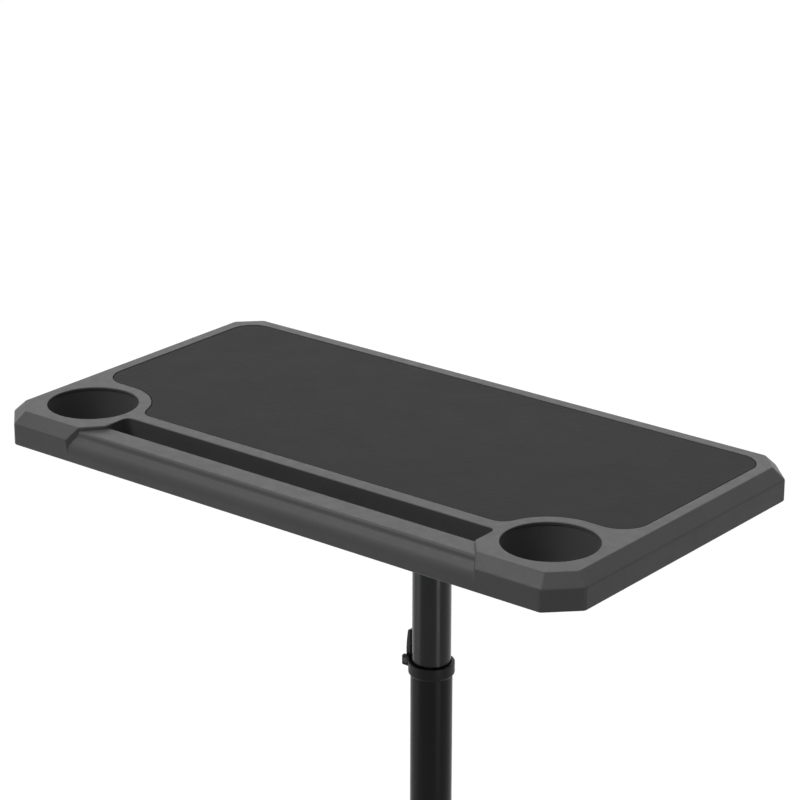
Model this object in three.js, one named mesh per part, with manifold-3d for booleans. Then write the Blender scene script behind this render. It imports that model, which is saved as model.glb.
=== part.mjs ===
import * as THREE from "three";
import { mergeVertices, toCreasedNormals } from "three/addons/utils/BufferGeometryUtils.js";
import Module from "manifold-3d";

// Height-adjustable desk on a wheeled H-base, for somebody riding an indoor bicycle trainer.
// Millimetres, +Z up, +X to the rider's right, +Y away from the rider.
// The origin is on the floor, on the axis of the column.

// Clearances
const seatGap = 0.3; // between a piece and the face that it rests on
const fitGap = 0.3; // all round a shaft, a screw or a plug in its hole
const overrun = 2; // how far a cutting shape passes the face that it opens

// Whole desk
const deskHeight = 1000; // floor to the top plane of the tray, as it stands in use
const columnSetback = 64; // column axis behind the middle of the tray

// Tray shell: an octagon in plan, moulded in one wall thickness
const trayWidth = 640;
const trayDepth = 348;
const trayThickness = 30.6;
const trayCorner = 26; // corner cut, measured along each side
const trayCornerRound = 5; // plan radius where a side meets a corner cut
const trayBevel = 10.5; // width and height of the sloping top edge
const trayTopRound = 1.4; // where the bevel meets the top plane
const trayBreakRound = 3; // where the bevel meets the wall
const trayFootRound = 1.5; // lower edge
const skin = 3; // moulded wall

// Cup holes, near the two front corners
const cupFromSide = 63;
const cupFromFront = 64.4;
const cupRadius = 40.4;
const cupLip = 1.8; // roundover of the lip
const cupDepth = 37; // top plane to the floor of the well
const wellWall = 1.8;
const wellFloor = 2.2;
const wellDraft = 1.5; // the well narrows by this much down to its floor
const wellFloorRound = 5;
const wellFlange = 4.5; // how far the flange reaches past the wall
const wellFlangeHeight = 2;

// Inlaid mat
const matFromSide = 21.8;
const matFromRear = 21.4;
const matFromFront = 71.2;
const matRearRound = 24;
const matSideRound = 26; // beside a cup hole
const matCupRadius = 53; // concave arc round a cup hole
const matFrontRound = 16; // between that arc and the front edge
const matRecess = 2.5;
const matThickness = 1.9;
const matSeam = 0.45;

// Slot for a tablet or telephone, right behind the wrist rest
const slotFromFront = 34; // front wall of the slot
const slotBackFromFront = 57.2; // rear wall of the slot
const slotEndFromCup = 50; // end of the slot to the middle of a cup hole
const slotDepth = 20;
const slotRearRound = 6;
const slotFrontRound = 3;

// Wrist rest between the corner blocks: a low flat, a short step and a rounded nose
const restDrop = 3.6;
const restFlatFromFront = 10.4; // where the flat ends
const restEdgeRound = 3;
const stepFromFront = 8.6; // foot of the step
const stepDrop = 8;
const stepRound = 6;
const noseDrop = 17.2; // where the slope would meet the front wall
const noseRound = 16;
const blockTurnFromFront = 29; // where the end of a corner block turns outwards, on the top plane
const blockTurnRound = 8;
const blockFrontFromCup = 25.6; // sideways from the cup hole: it meets the front wall
const blockFlankShare = 0.15; // how far the flank leans out for each millimetre down

// Ribs and screw bosses under the tray
const ribThickness = 2.4;
const ribFoot = 6.5; // how far a rib stays above the pan
const ribPlacesShares = [-0.62, -0.22, 0.22, 0.62]; // of half the tray width
const longRibShares = [-0.2, 0.62]; // of half the tray depth
const bossRadius = 6;
const bossDepth = 16;
const panBossFromSide = 46;
const panBossRearInset = 34;
const panBossFromCup = 81; // sideways, front pair
const panBossFromSlot = 12; // behind the slot

// Pan that closes the tray from below
const panThickness = 2.5;
const panRim = 4;
const panRimWall = 2;
const panSideGap = 0.4;

// Plate and socket that carry the tray on the column
const plateWidth = 150;
const plateDepth = 100;
const plateThickness = 3;
const plateRound = 14;
const plateScrewX = 60;
const plateScrewY = 36;
const socketWall = 3.8;
const socketLength = 35;
const gussetReach = 17;
const gussetThickness = 3;
const socketScrewDrop = 20; // below the plate

// Column
const innerTubeDiameter = 36.4;
const innerTubeWall = 1.5;
const innerTubeLength = 640;
const outerTubeDiameter = 39.4;
const outerTubeWall = 1.1;
const glideFlange = 3;
const glideStem = 20;
const glideWall = 2.4;

// Clamp on top of the outer tube
const collarDrop = 245.8; // top plane of the tray to the top of the collar
const collarDiameter = 43.5;
const collarBand = 10.8;
const collarTaper = 1.6;
const collarLip = 3; // covers the end of the outer tube
const collarEdge = 0.6;
const lugReach = 28.2; // from the column axis
const lugRise = 1.4; // above the band
const lugHalfSpan = 9;
const lugThickness = 3.7;
const lugHeight = 10.2;
const lugEdge = 0.8;
const pinFromAxis = 24.4;
const pinRadius = 1.9;
const pinHeadRadius = 3;
const pinHeadHeight = 1.4;
const nutRadius = 3.6; // across corners
const nutHeight = 2.4;
const camRadius = 3.15;
const camThrow = 0.25; // the cam is this much off the pin, towards the tube
const leverHeight = 30.1; // pin to the tip
const leverTipWidth = 3.4;
const leverBelly = 2.7; // control point of the outer curve, beyond the pin
const leverEdge = 0.9;
const leverBellyShare = 0.41; // height of that control point on the lever
const camShoulder = (25 * Math.PI) / 36; // where the outer side meets the round root
const padWidth = 7;
const padHeight = 6;

// Base
const railHalfTrack = 240; // column axis to the middle of a rail
const railWidth = 40;
const railHeight = 25;
const railLength = 510;
const railWall = 1.8;
const railRound = 5;
const railUnderside = 66.5;
const crossbarDepth = 50;
const crossbarWall = 2;
const crossbarPlug = 8;
const railBoltSpread = 13;
const railBoltRadius = 4;
const railBoltHead = 7;
const railBoltHeadHeight = 4;
const capThickness = 4.7;
const capDome = 1.6;
const capPlug = 15;
const capPlugWall = 2;

// Foot of the column
const footWidth = 96;
const footThickness = 5;
const footRound = 7;
const footSocketWall = 3.6;
const footSocketHeight = 45;
const footBoltX = 38;
const footBoltY = 15;
const footBoltRadius = 3;
const footBoltHead = 5.5;
const footBoltHeadHeight = 3.6;
const footBoltLength = 16;

// Small screws
const screwRadius = 2.2;
const screwHead = 4.6;
const screwHeadHeight = 2.8;
const socketScrewRadius = 3;
const socketScrewHead = 5.2;
const socketScrewHeadHeight = 3.2;
const socketScrewBite = 3; // how far it reaches into the inner tube
const screwSkirtShare = 0.35; // straight side of a domed head, of its height
const screwCrownShare = 0.72; // its flat top, of its radius

// Castors
const casterFromEnd = 43; // swivel axis from the end of the rail
const wheelRadius = 25;
const wheelHalfWidth = 10;
const wheelEdge = 3;
const wheelTrail = 16;
const wheelRim = 5.5; // thickness of tyre and rim
const wheelWebDip = 4;
const hubRadius = 7;
const hubHalfWidth = 11;
const axleRadius = 3;
const axleHeadRadius = 5;
const axleHeadHeight = 1.8;
const forkPlate = 2.5;
const crownThickness = 4;
const crownRadius = 16;
const crownOverWheel = 3; // free height between wheel and crown
const forkNose = 12; // in front of the swivel axis
const forkTail = 25; // behind it
const forkEye = 7; // radius round the axle
const swivelRadius = 5;
const swivelRivet = 7.5;
const swivelRivetHeight = 3;
const stemFlange = 15;
const stemFlangeHeight = 3;
const stemHex = 8.5; // across corners
const stemThread = 4.9;
const stemRise = 20; // thread inside the rail
const pedalPivotBehind = 20;
const pedalPivotBelow = 3.5; // under the top of the crown
const pedalBoss = 3;
const pedalTrunnion = 1.8;
const pedalReach = 22;
const pedalFall = 5;
const pedalThickness = 3.4;
const pedalEdgeShare = 1 / 3; // roundover of the treadle's front, of its thickness
const pedalShoe = 5; // where the shoe hangs, behind the pivot
const pedalShoeDrop = 3.4;

// How finely round shapes are divided
const tubeSteps = 32;
const cupSteps = 32;
const smallSteps = 8;
const hexSides = 6;
const swivelSteps = 12;
const wheelSteps = 16;
const arcSteps = 3;
const coarseArcSteps = 2;
const pathSteps = 4; // an arc of a path gets twice as many
const creaseAngle = Math.PI / 6;

const wasm = await Module();
wasm.setup();

// Sizes that follow from the ones above
const halfWidth = trayWidth / 2;
const halfDepth = trayDepth / 2;
const cupX = halfWidth - cupFromSide;
const cupY = cupFromFront - halfDepth;
const slotHalfLength = cupX - slotEndFromCup;
const slotMiddle = (slotFromFront + slotBackFromFront) / 2 - halfDepth;
const trayUnderside = -trayThickness;
const plateTop = trayUnderside - seatGap;
const plateUnderside = plateTop - plateThickness;
const innerRadius = innerTubeDiameter / 2;
const outerRadius = outerTubeDiameter / 2;
const outerBore = outerRadius - outerTubeWall;
const collarRadius = collarDiameter / 2;
const collarTop = deskHeight - collarDrop;
const collarFoot = collarTop - collarBand - collarTaper;
const lugTop = collarTop + lugRise;
const pinHeight = lugTop - lugHeight / 2;
const camReach = camRadius + camThrow; // flat inner side of the lever, from the pin
const lugGapHalf = lugHalfSpan - lugThickness;
const leverHalfWidth = lugGapHalf - fitGap;
const outerTubeTop = collarTop - collarLip - seatGap;
const railTop = railUnderside + railHeight;
const railMiddle = railUnderside + railHeight / 2;
const footUnderside = railTop + seatGap;
const footTop = footUnderside + footThickness;
const outerTubeFoot = footTop + seatGap;
const casterY = railLength / 2 - casterFromEnd;
const crownUnderside = 2 * wheelRadius + crownOverWheel;
const crownTop = crownUnderside + crownThickness;
const forkInside = hubHalfWidth + fitGap;
const forkOutside = forkInside + forkPlate;

// Materials
const finish = (color, roughness, metalness) =>
  new THREE.MeshStandardMaterial({ color, roughness, metalness });
const charcoalPlastic = finish(0x4a4a4b, 0.5, 0);
const blackPlastic = finish(0x1c1c1d, 0.55, 0);
const matRubber = finish(0x2b2b2c, 0.9, 0);
const columnPaint = finish(0x242726, 0.4, 0.3);
const basePaint = finish(0x1a1b1b, 0.45, 0.3);
const tyreRubber = finish(0x333436, 0.8, 0);
const zincSteel = finish(0x9b9d9f, 0.35, 1);
const blackSteel = finish(0x161616, 0.4, 0.6);

// Solids

// A closed solid from a three.js geometry, without the triangles that shrink to a line on an axis.
function solidOf(geometry) {
  const bare = geometry.clone();
  bare.deleteAttribute("normal");
  bare.deleteAttribute("uv");
  const merged = mergeVertices(bare);
  const index = merged.index.array;
  const triVerts = [];
  for (let i = 0; i < index.length; i += 3) {
    const [a, b, c] = [index[i], index[i + 1], index[i + 2]];
    if (a !== b && b !== c && c !== a) triVerts.push(a, b, c);
  }
  return new wasm.Manifold(
    new wasm.Mesh({
      numProp: 3,
      vertProperties: new Float32Array(merged.attributes.position.array),
      triVerts: new Uint32Array(triVerts),
    }),
  );
}

function geometryOf(solid) {
  const { vertProperties, triVerts } = solid.getMesh();
  const geometry = new THREE.BufferGeometry();
  geometry.setAttribute("position", new THREE.BufferAttribute(new Float32Array(vertProperties), 3));
  geometry.setIndex(new THREE.BufferAttribute(new Uint32Array(triVerts), 1));
  return geometry;
}

function join(first, ...others) {
  return geometryOf(others.reduce((sum, other) => sum.add(solidOf(other)), solidOf(first)));
}

function cut(body, ...tools) {
  return geometryOf(tools.reduce((rest, tool) => rest.subtract(solidOf(tool)), solidOf(body)));
}

function common(first, second) {
  return geometryOf(solidOf(first).intersect(solidOf(second)));
}

// A corner list [x, y, radius] turned into points, each corner with its radius.
function rounded(corners, closed = true, steps = arcSteps) {
  const points = [];
  corners.forEach(([x, y, radius = 0], i) => {
    const here = new THREE.Vector2(x, y);
    const isEnd = !closed && (i === 0 || i === corners.length - 1);
    if (radius === 0 || isEnd) {
      points.push(here);
      return;
    }
    const before = corners[(i + corners.length - 1) % corners.length];
    const after = corners[(i + 1) % corners.length];
    const back = new THREE.Vector2(before[0], before[1]).sub(here).normalize();
    const onward = new THREE.Vector2(after[0], after[1]).sub(here).normalize();
    const halfAngle = Math.acos(THREE.MathUtils.clamp(back.dot(onward), -1, 1)) / 2;
    const inward = back.clone().add(onward).normalize();
    const centre = here.clone().addScaledVector(inward, radius / Math.sin(halfAngle));
    const start = here.clone().addScaledVector(back, radius / Math.tan(halfAngle)).sub(centre);
    const end = here.clone().addScaledVector(onward, radius / Math.tan(halfAngle)).sub(centre);
    const sweep = Math.atan2(start.cross(end), start.dot(end));
    for (let k = 0; k <= steps; k += 1) {
      const spoke = start.clone().rotateAround(new THREE.Vector2(), (sweep * k) / steps);
      points.push(spoke.add(centre));
    }
  });
  return points;
}

// An outline raised along Z, from the given height.
function prism(outline, from, to) {
  const shape = new THREE.Shape(outline);
  const options = { depth: to - from, bevelEnabled: false };
  return new THREE.ExtrudeGeometry(shape, options).translate(0, 0, from);
}

// An outline drawn in Y and Z, stretched along X.
function alongX(outline, from, to) {
  const turn = new THREE.Matrix4().set(0, 0, 1, 0, 1, 0, 0, 0, 0, 1, 0, 0, 0, 0, 0, 1);
  return prism(outline, from, to).applyMatrix4(turn);
}

// An outline drawn in X and Z, stretched along Y.
function alongY(outline, from, to) {
  return prism(outline, -to, -from).rotateX(Math.PI / 2);
}

// A closed profile of [radius, height] corners, turned about the Z axis.
function turned(corners, steps = smallSteps, edgeSteps = coarseArcSteps) {
  const profile = rounded([...corners, corners[0]], false, edgeSteps);
  return new THREE.LatheGeometry(profile, steps).rotateX(Math.PI / 2);
}

function rod(radius, from, to, steps = smallSteps) {
  return turned([[0, from], [radius, from], [radius, to], [0, to]], steps);
}

function block(x0, x1, y0, y1, z0, z1) {
  const box = new THREE.BoxGeometry(x1 - x0, y1 - y0, z1 - z0);
  return box.translate((x0 + x1) / 2, (y0 + y1) / 2, (z0 + z1) / 2);
}

function rectangle(x0, x1, y0, y1, radius) {
  const corners = [[x0, y0, radius], [x1, y0, radius], [x1, y1, radius], [x0, y1, radius]];
  return rounded(corners, true, coarseArcSteps);
}

// Rings of equal point count, joined into a closed skin with flat ends.
function loft(rings) {
  const count = rings[0].length;
  const position = rings.flat().flatMap((point) => [point.x, point.y, point.z]);
  const index = [];
  for (let ring = 0; ring < rings.length - 1; ring += 1) {
    for (let i = 0; i < count; i += 1) {
      const a = ring * count + i;
      const b = ring * count + ((i + 1) % count);
      index.push(a, b, b + count, a, b + count, a + count);
    }
  }
  const last = (rings.length - 1) * count;
  for (const [a, b, c] of THREE.ShapeUtils.triangulateShape(rings[0], [])) {
    index.push(a, c, b);
  }
  for (const [a, b, c] of THREE.ShapeUtils.triangulateShape(rings[rings.length - 1], [])) {
    index.push(last + a, last + b, last + c);
  }
  const geometry = new THREE.BufferGeometry();
  geometry.setAttribute("position", new THREE.Float32BufferAttribute(position, 3));
  geometry.setIndex(index);
  return geometry;
}

function mirroredX(geometry) {
  const copy = geometry.clone().scale(-1, 1, 1);
  const index = copy.index.array;
  for (let i = 0; i < index.length; i += 3) {
    [index[i], index[i + 1]] = [index[i + 1], index[i]];
  }
  return copy;
}

// Tray, drawn with the middle of its top plane at the origin

// Plan of the tray, drawn in from the outside by an inset.
function trayPlan(inset, z) {
  const a = halfWidth - inset;
  const b = halfDepth - inset;
  const c = trayCorner - inset * (2 - Math.SQRT2);
  const r = trayCornerRound;
  const corners = [
    [a, c - b, r], [a, b - c, r], [a - c, b, r], [c - a, b, r],
    [-a, b - c, r], [-a, c - b, r], [c - a, -b, r], [a - c, -b, r],
  ];
  return rounded(corners, true, coarseArcSteps).map((point) => new THREE.Vector3(point.x, point.y, z));
}

// The tray's outside: wall, bevel and their rounded breaks.
function trayBody() {
  const edge = rounded(
    [
      [2 * trayFootRound, trayUnderside],
      [0, trayUnderside, trayFootRound],
      [0, -trayBevel, trayBreakRound],
      [trayBevel, 0, trayTopRound],
      [trayBevel + trayTopRound, 0],
    ],
    false,
  );
  return loft(edge.map((point) => trayPlan(point.x, point.y)));
}

// The same outside, one wall further in and open below.
function trayCore() {
  const turn = skin * Math.tan(Math.PI / 8);
  return loft([
    trayPlan(skin, trayUnderside - overrun),
    trayPlan(skin, -trayBevel - turn),
    trayPlan(trayBevel + turn, -skin),
  ]);
}

// The mat's outline, with concave arcs round both cup holes.
function matPlan(grow) {
  const side = halfWidth - matFromSide;
  const rear = halfDepth - matFromRear;
  const front = matFromFront - halfDepth;
  const shoulder = cupY + matCupRadius; // the mat's edge beside a cup hole
  const fromCup = matCupRadius + matFrontRound;
  const rise = front + matFrontRound - cupY;
  const tip = Math.acos(-Math.sqrt(fromCup ** 2 - rise ** 2) / fromCup);
  const tipX = cupX - Math.sqrt(fromCup ** 2 - rise ** 2);
  const frontRound = matFrontRound + grow;
  const cornerX = side - matRearRound;
  const cornerY = rear - matRearRound;
  const sideX = side - matSideRound;
  const sideY = shoulder + matSideRound;
  const path = new THREE.Path();
  path.absarc(tipX, front + matFrontRound, frontRound, -Math.PI / 2, tip - Math.PI, false);
  path.absarc(cupX, cupY, matCupRadius - grow, tip, Math.PI / 2, true);
  path.absarc(sideX, sideY, matSideRound + grow, -Math.PI / 2, 0, false);
  path.absarc(cornerX, cornerY, matRearRound + grow, 0, Math.PI / 2, false);
  const right = path.getPoints(pathSteps);
  const left = right.map((point) => new THREE.Vector2(-point.x, point.y)).reverse();
  return [...right, ...left];
}

function slotPlan(grow) {
  const x = slotHalfLength + grow;
  const front = slotFromFront - halfDepth - grow;
  const back = slotBackFromFront - halfDepth + grow;
  const frontRound = slotFrontRound + grow;
  const rearRound = slotRearRound + grow;
  return rounded([
    [-x, front, frontRound], [x, front, frontRound], [x, back, rearRound], [-x, back, rearRound],
  ]);
}

// What stays of a front corner: a block whose end turns outwards on its way to the front wall.
function blockPlan(grow, z) {
  const lean = -z * blockFlankShare - grow;
  const turnY = blockTurnFromFront - halfDepth;
  const run = cupX - blockFrontFromCup - slotHalfLength;
  const slant = Math.atan2(run, blockTurnFromFront);
  const x = slotHalfLength - lean;
  const y = turnY - lean * Math.tan(slant / 2);
  const front = -halfDepth - 2 * overrun;
  const far = halfWidth + overrun;
  const outline = rounded([
    [x, slotMiddle],
    [x, y, blockTurnRound + lean],
    [x + (y - front) * Math.tan(slant), front],
    [far, front],
    [far, slotMiddle],
  ]);
  return outline.map((point) => new THREE.Vector3(point.x, point.y, z));
}

// Everything above the wrist rest and its nose, between the two corner blocks.
function restCut(grow) {
  const fromFront = (distance) => distance - halfDepth + grow;
  const nose = rounded(
    [
      [slotMiddle, -restDrop - grow],
      [fromFront(restFlatFromFront), -restDrop - grow, restEdgeRound],
      [fromFront(stepFromFront), -stepDrop - grow, stepRound],
      [fromFront(0), -noseDrop - grow, noseRound - grow],
      [fromFront(0), trayUnderside - grow],
    ],
    false,
  );
  nose.pop();
  const low = nose[nose.length - 1].y;
  const outside = -halfDepth - overrun;
  nose.push(new THREE.Vector2(outside, low));
  nose.push(new THREE.Vector2(outside, overrun));
  nose.push(new THREE.Vector2(slotMiddle, overrun));
  const strip = alongX(nose, -halfWidth, halfWidth);
  const keep = geometryOf(
    solidOf(loft([blockPlan(grow, trayUnderside), blockPlan(grow, 2 * overrun)])),
  );
  return cut(strip, keep, mirroredX(keep));
}

// The hollows that are open to the top, grown by one wall to shape the underside.
function topHollows(grow) {
  return [
    restCut(grow),
    prism(slotPlan(grow), -slotDepth - grow, overrun),
    prism(matPlan(grow), -matRecess - grow, overrun),
  ];
}

const panScrewPlaces = [
  [halfWidth - panBossFromSide, halfDepth - panBossRearInset],
  [panBossFromSide - halfWidth, halfDepth - panBossRearInset],
  [cupX - panBossFromCup, slotBackFromFront + panBossFromSlot - halfDepth],
  [panBossFromCup - cupX, slotBackFromFront + panBossFromSlot - halfDepth],
];
const mountScrewPlaces = [-1, 1].flatMap((sideways) =>
  [-1, 1].map((along) => [sideways * plateScrewX, columnSetback + along * plateScrewY]),
);
const bossFoot = trayUnderside + panThickness + seatGap;
const wellTop = -skin - seatGap;
const wellOuter = cupRadius + fitGap + wellWall;
const flangeRadius = wellOuter + wellFlange;

function trayRibs() {
  const low = bossFoot + ribFoot;
  const cross = ribPlacesShares.map((share) => {
    const x = share * halfWidth;
    return block(x - ribThickness / 2, x + ribThickness / 2, -halfDepth, halfDepth, low, 0);
  });
  const long = longRibShares.map((share) => {
    const y = share * halfDepth;
    return block(-halfWidth, halfWidth, y - ribThickness / 2, y + ribThickness / 2, low, 0);
  });
  return join(...cross, ...long);
}

function tabletopShell() {
  const outside = cut(trayBody(), ...topHollows(0));
  const hollow = cut(trayCore(), ...topHollows(skin));
  const places = [...panScrewPlaces, ...mountScrewPlaces];
  const bosses = places.map(([x, y]) => rod(bossRadius, bossFoot, 0).translate(x, y, 0));
  const wells = [-1, 1].map((side) =>
    rod(flangeRadius + fitGap, trayUnderside - overrun, -skin, cupSteps)
      .translate(side * cupX, cupY, 0),
  );
  const stiffening = cut(common(outside, join(trayRibs(), ...bosses)), ...wells);
  const pilots = places.map(([x, y]) =>
    rod(screwRadius + fitGap, bossFoot - overrun, bossFoot + bossDepth).translate(x, y, 0),
  );
  const cups = [-1, 1].map((side) => cupBore().translate(side * cupX, cupY, 0));
  return cut(join(cut(outside, hollow), stiffening), ...pilots, ...cups);
}

// What is cut away for a cup hole, flared by the roundover of its lip.
function cupBore() {
  return turned(
    [
      [0, -skin - overrun],
      [cupRadius, -skin - overrun],
      [cupRadius, 0, cupLip],
      [cupRadius + 2 * cupLip, 0],
      [cupRadius + 2 * cupLip, overrun],
      [0, overrun],
    ],
    cupSteps,
    arcSteps,
  );
}

function cupWell() {
  const inside = cupRadius + fitGap;
  const floor = -cupDepth;
  const low = floor - wellFloor;
  return turned(
    [
      [0, low],
      [inside - wellDraft + wellWall, low, wellFloorRound],
      [wellOuter, wellTop - wellFlangeHeight],
      [flangeRadius, wellTop - wellFlangeHeight],
      [flangeRadius, wellTop],
      [inside, wellTop],
      [inside - wellDraft, floor, wellFloorRound - wellWall],
      [0, floor],
    ],
    cupSteps,
    arcSteps,
  );
}

function underPan() {
  const inset = skin + panSideGap;
  const plan = (extra) => trayPlan(inset + extra, 0).map((p) => new THREE.Vector2(p.x, p.y));
  const low = trayUnderside;
  const sheet = prism(plan(0), low, low + panThickness);
  const rim = cut(
    prism(plan(0), low + panThickness / 2, low + panThickness + panRim),
    prism(plan(panRimWall), low, low + panThickness + panRim + overrun),
  );
  const screws = [...panScrewPlaces, ...mountScrewPlaces].map(([x, y]) =>
    rod(screwRadius + fitGap, low - overrun, low + panThickness + overrun).translate(x, y, 0),
  );
  const wells = [-1, 1].map((side) =>
    rod(wellOuter + fitGap, low - overrun, low + panThickness + overrun, cupSteps)
      .translate(side * cupX, cupY, 0),
  );
  return cut(join(sheet, rim), ...screws, ...wells);
}

function mountPlate() {
  const outline = rectangle(
    -plateWidth / 2, plateWidth / 2, -plateDepth / 2, plateDepth / 2, plateRound,
  );
  const foot = plateUnderside - socketLength;
  const outside = innerRadius + fitGap + socketWall;
  const sleeve = rod(outside, foot, plateUnderside + plateThickness / 2, tubeSteps);
  const bore = rod(innerRadius + fitGap, foot - overrun, plateUnderside, tubeSteps);
  const inside = innerRadius + fitGap + socketWall / 2;
  const web = alongY(
    rounded([
      [inside, plateUnderside + plateThickness / 2],
      [inside, plateUnderside - gussetReach],
      [outside, plateUnderside - gussetReach],
      [outside + gussetReach, plateUnderside],
      [outside + gussetReach, plateUnderside + plateThickness / 2],
    ]),
    -gussetThickness / 2,
    gussetThickness / 2,
  );
  const gussets = [1, 3, 5, 7].map((eighth) => web.clone().rotateZ((eighth * Math.PI) / 4));
  const holes = mountScrewPlaces.map(([x, y]) =>
    rod(screwRadius + fitGap, plateUnderside - overrun, plateTop + overrun)
      .translate(x, y - columnSetback, 0),
  );
  const screwHole = rod(socketScrewRadius + fitGap, 0, outside + overrun)
    .rotateX(-Math.PI / 2)
    .translate(0, 0, plateUnderside - socketScrewDrop);
  const body = join(prism(outline, plateUnderside, plateTop), sleeve, ...gussets);
  return cut(body, bore, ...holes, screwHole);
}

// A screw whose domed head stands on the plane z = 0.
function screw(radius, length, head, headHeight) {
  return turned([
    [0, -length],
    [radius, -length],
    [radius, 0],
    [head, 0],
    [head, headHeight * screwSkirtShare],
    [head * screwCrownShare, headHeight],
    [0, headHeight],
  ]);
}

// Column and clamp

function innerTube() {
  const top = plateUnderside - seatGap;
  const tube = cut(
    rod(innerRadius, top - innerTubeLength, top, tubeSteps),
    rod(innerRadius - innerTubeWall, top - innerTubeLength - overrun, top + overrun, tubeSteps),
  );
  const hole = rod(socketScrewRadius + fitGap, 0, innerRadius + overrun)
    .rotateX(-Math.PI / 2)
    .translate(0, 0, plateUnderside - socketScrewDrop);
  return cut(tube, hole);
}

// A cup-shaped bush: its flange runs in the outer tube and its stem sits in the inner tube.
function glideBush() {
  const flangeTop = plateUnderside - seatGap - innerTubeLength - seatGap;
  const stem = innerRadius - innerTubeWall - fitGap;
  const bore = stem - glideWall;
  return turned(
    [
      [bore, flangeTop - glideFlange],
      [outerBore - fitGap, flangeTop - glideFlange],
      [outerBore - fitGap, flangeTop],
      [stem, flangeTop],
      [stem, flangeTop + glideStem],
      [bore, flangeTop + glideStem],
    ],
    tubeSteps,
  );
}

const windowFoot = pinHeight - padHeight / 2 - fitGap;
const windowHead = pinHeight + padHeight / 2 + fitGap;
const windowHalf = padWidth / 2 + fitGap;

function outerTube() {
  return cut(
    rod(outerRadius, outerTubeFoot, outerTubeTop, tubeSteps),
    rod(outerBore, outerTubeFoot - overrun, outerTubeTop + overrun, tubeSteps),
    block(-outerRadius - overrun, 0, -windowHalf, windowHalf, windowFoot, collarTop),
  );
}

function clampCollar() {
  const band = turned(
    [
      [0, collarFoot],
      [outerRadius + fitGap + collarEdge, collarFoot],
      [collarRadius, collarFoot + collarTaper],
      [collarRadius, collarTop, collarEdge],
      [0, collarTop],
    ],
    tubeSteps,
  );
  const side = rectangle(-lugReach, -outerRadius, lugTop - lugHeight, lugTop, lugEdge);
  const lugs = [-lugHalfSpan, lugGapHalf].map((from) => alongY(side, from, from + lugThickness));
  const bore = turned(
    [
      [0, collarFoot - overrun],
      [outerRadius + fitGap, collarFoot - overrun],
      [outerRadius + fitGap, collarTop - collarLip],
      [innerRadius + 2 * fitGap, collarTop - collarLip],
      [innerRadius + 2 * fitGap, collarTop + overrun],
      [0, collarTop + overrun],
    ],
    tubeSteps,
  );
  const opening = block(-lugReach, 0, -windowHalf, windowHalf, windowFoot, windowHead);
  const flat = block(
    -lugReach, camReach + seatGap - pinFromAxis, -lugGapHalf, lugGapHalf,
    collarFoot - overrun, collarTop + overrun,
  );
  const across = (radius, from, to) =>
    rod(radius, from, to).rotateX(-Math.PI / 2).translate(-pinFromAxis, 0, pinHeight);
  return cut(
    join(band, ...lugs),
    bore,
    opening,
    flat,
    across(pinRadius + fitGap, -lugHalfSpan - overrun, lugHalfSpan + overrun),
    across(
      pinHeadRadius + fitGap, -lugHalfSpan - overrun, seatGap + pinHeadHeight - lugHalfSpan,
    ),
  );
}

// Cam lever, upright when shut: round root about the pin, bellied outer side, flat inner side.
function clampLever() {
  const outline = new THREE.Path();
  outline.absarc(camThrow, 0, camRadius, camShoulder, 2 * Math.PI, false);
  outline.lineTo(camReach, leverHeight - leverEdge);
  outline.lineTo(camReach - leverEdge, leverHeight);
  outline.lineTo(camReach - leverTipWidth + leverEdge / 2, leverHeight);
  outline.lineTo(camReach - leverTipWidth, leverHeight - leverEdge);
  outline.quadraticCurveTo(
    -leverBelly, leverHeight * leverBellyShare,
    camThrow + camRadius * Math.cos(camShoulder), camRadius * Math.sin(camShoulder),
  );
  const points = outline.getPoints(pathSteps).slice(0, -1);
  const body = alongY(points, -leverHalfWidth, leverHalfWidth);
  const hole = rod(pinRadius + fitGap, -lugHalfSpan, lugHalfSpan).rotateX(-Math.PI / 2);
  return cut(body, hole);
}

function clampPin() {
  const seat = pinHeadHeight - lugHalfSpan;
  const length = 2 * lugHalfSpan - pinHeadHeight + seatGap + nutHeight + seatGap;
  return turned([
    [0, seat - pinHeadHeight],
    [pinHeadRadius, seat - pinHeadHeight],
    [pinHeadRadius, seat],
    [pinRadius, seat],
    [pinRadius, seat + length],
    [0, seat + length],
  ]).rotateX(-Math.PI / 2);
}

function clampNut() {
  const from = lugHalfSpan + seatGap;
  return cut(
    rod(nutRadius, from, from + nutHeight, hexSides),
    rod(pinRadius + fitGap, from - overrun, from + nutHeight + overrun),
  ).rotateX(-Math.PI / 2);
}

// The shoe between cam and tube, hollowed to the tube's radius.
function pressurePad() {
  const low = pinHeight - padHeight / 2;
  const face = camReach + seatGap - pinFromAxis;
  return cut(
    block(face, 0, -padWidth / 2, padWidth / 2, low, low + padHeight),
    rod(innerRadius + fitGap, low - overrun, low + padHeight + overrun, tubeSteps),
  );
}

// Base

function rail() {
  const half = railLength / 2;
  const outside = rectangle(-railWidth / 2, railWidth / 2, 0, railHeight, railRound);
  const inside = rectangle(
    railWall - railWidth / 2, railWidth / 2 - railWall,
    railWall, railHeight - railWall, railRound - railWall,
  );
  const bolts = [-railBoltSpread, railBoltSpread].map((y) =>
    rod(railBoltRadius + fitGap, -railWidth, railWidth)
      .rotateY(Math.PI / 2)
      .translate(0, y, railHeight / 2),
  );
  const stems = [-casterY, casterY].map((y) =>
    rod(stemThread + fitGap, -overrun, railWall + overrun, swivelSteps).translate(0, y, 0),
  );
  return cut(
    alongY(outside, -half, half),
    alongY(inside, -half - overrun, half + overrun),
    ...bolts,
    ...stems,
  );
}

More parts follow.
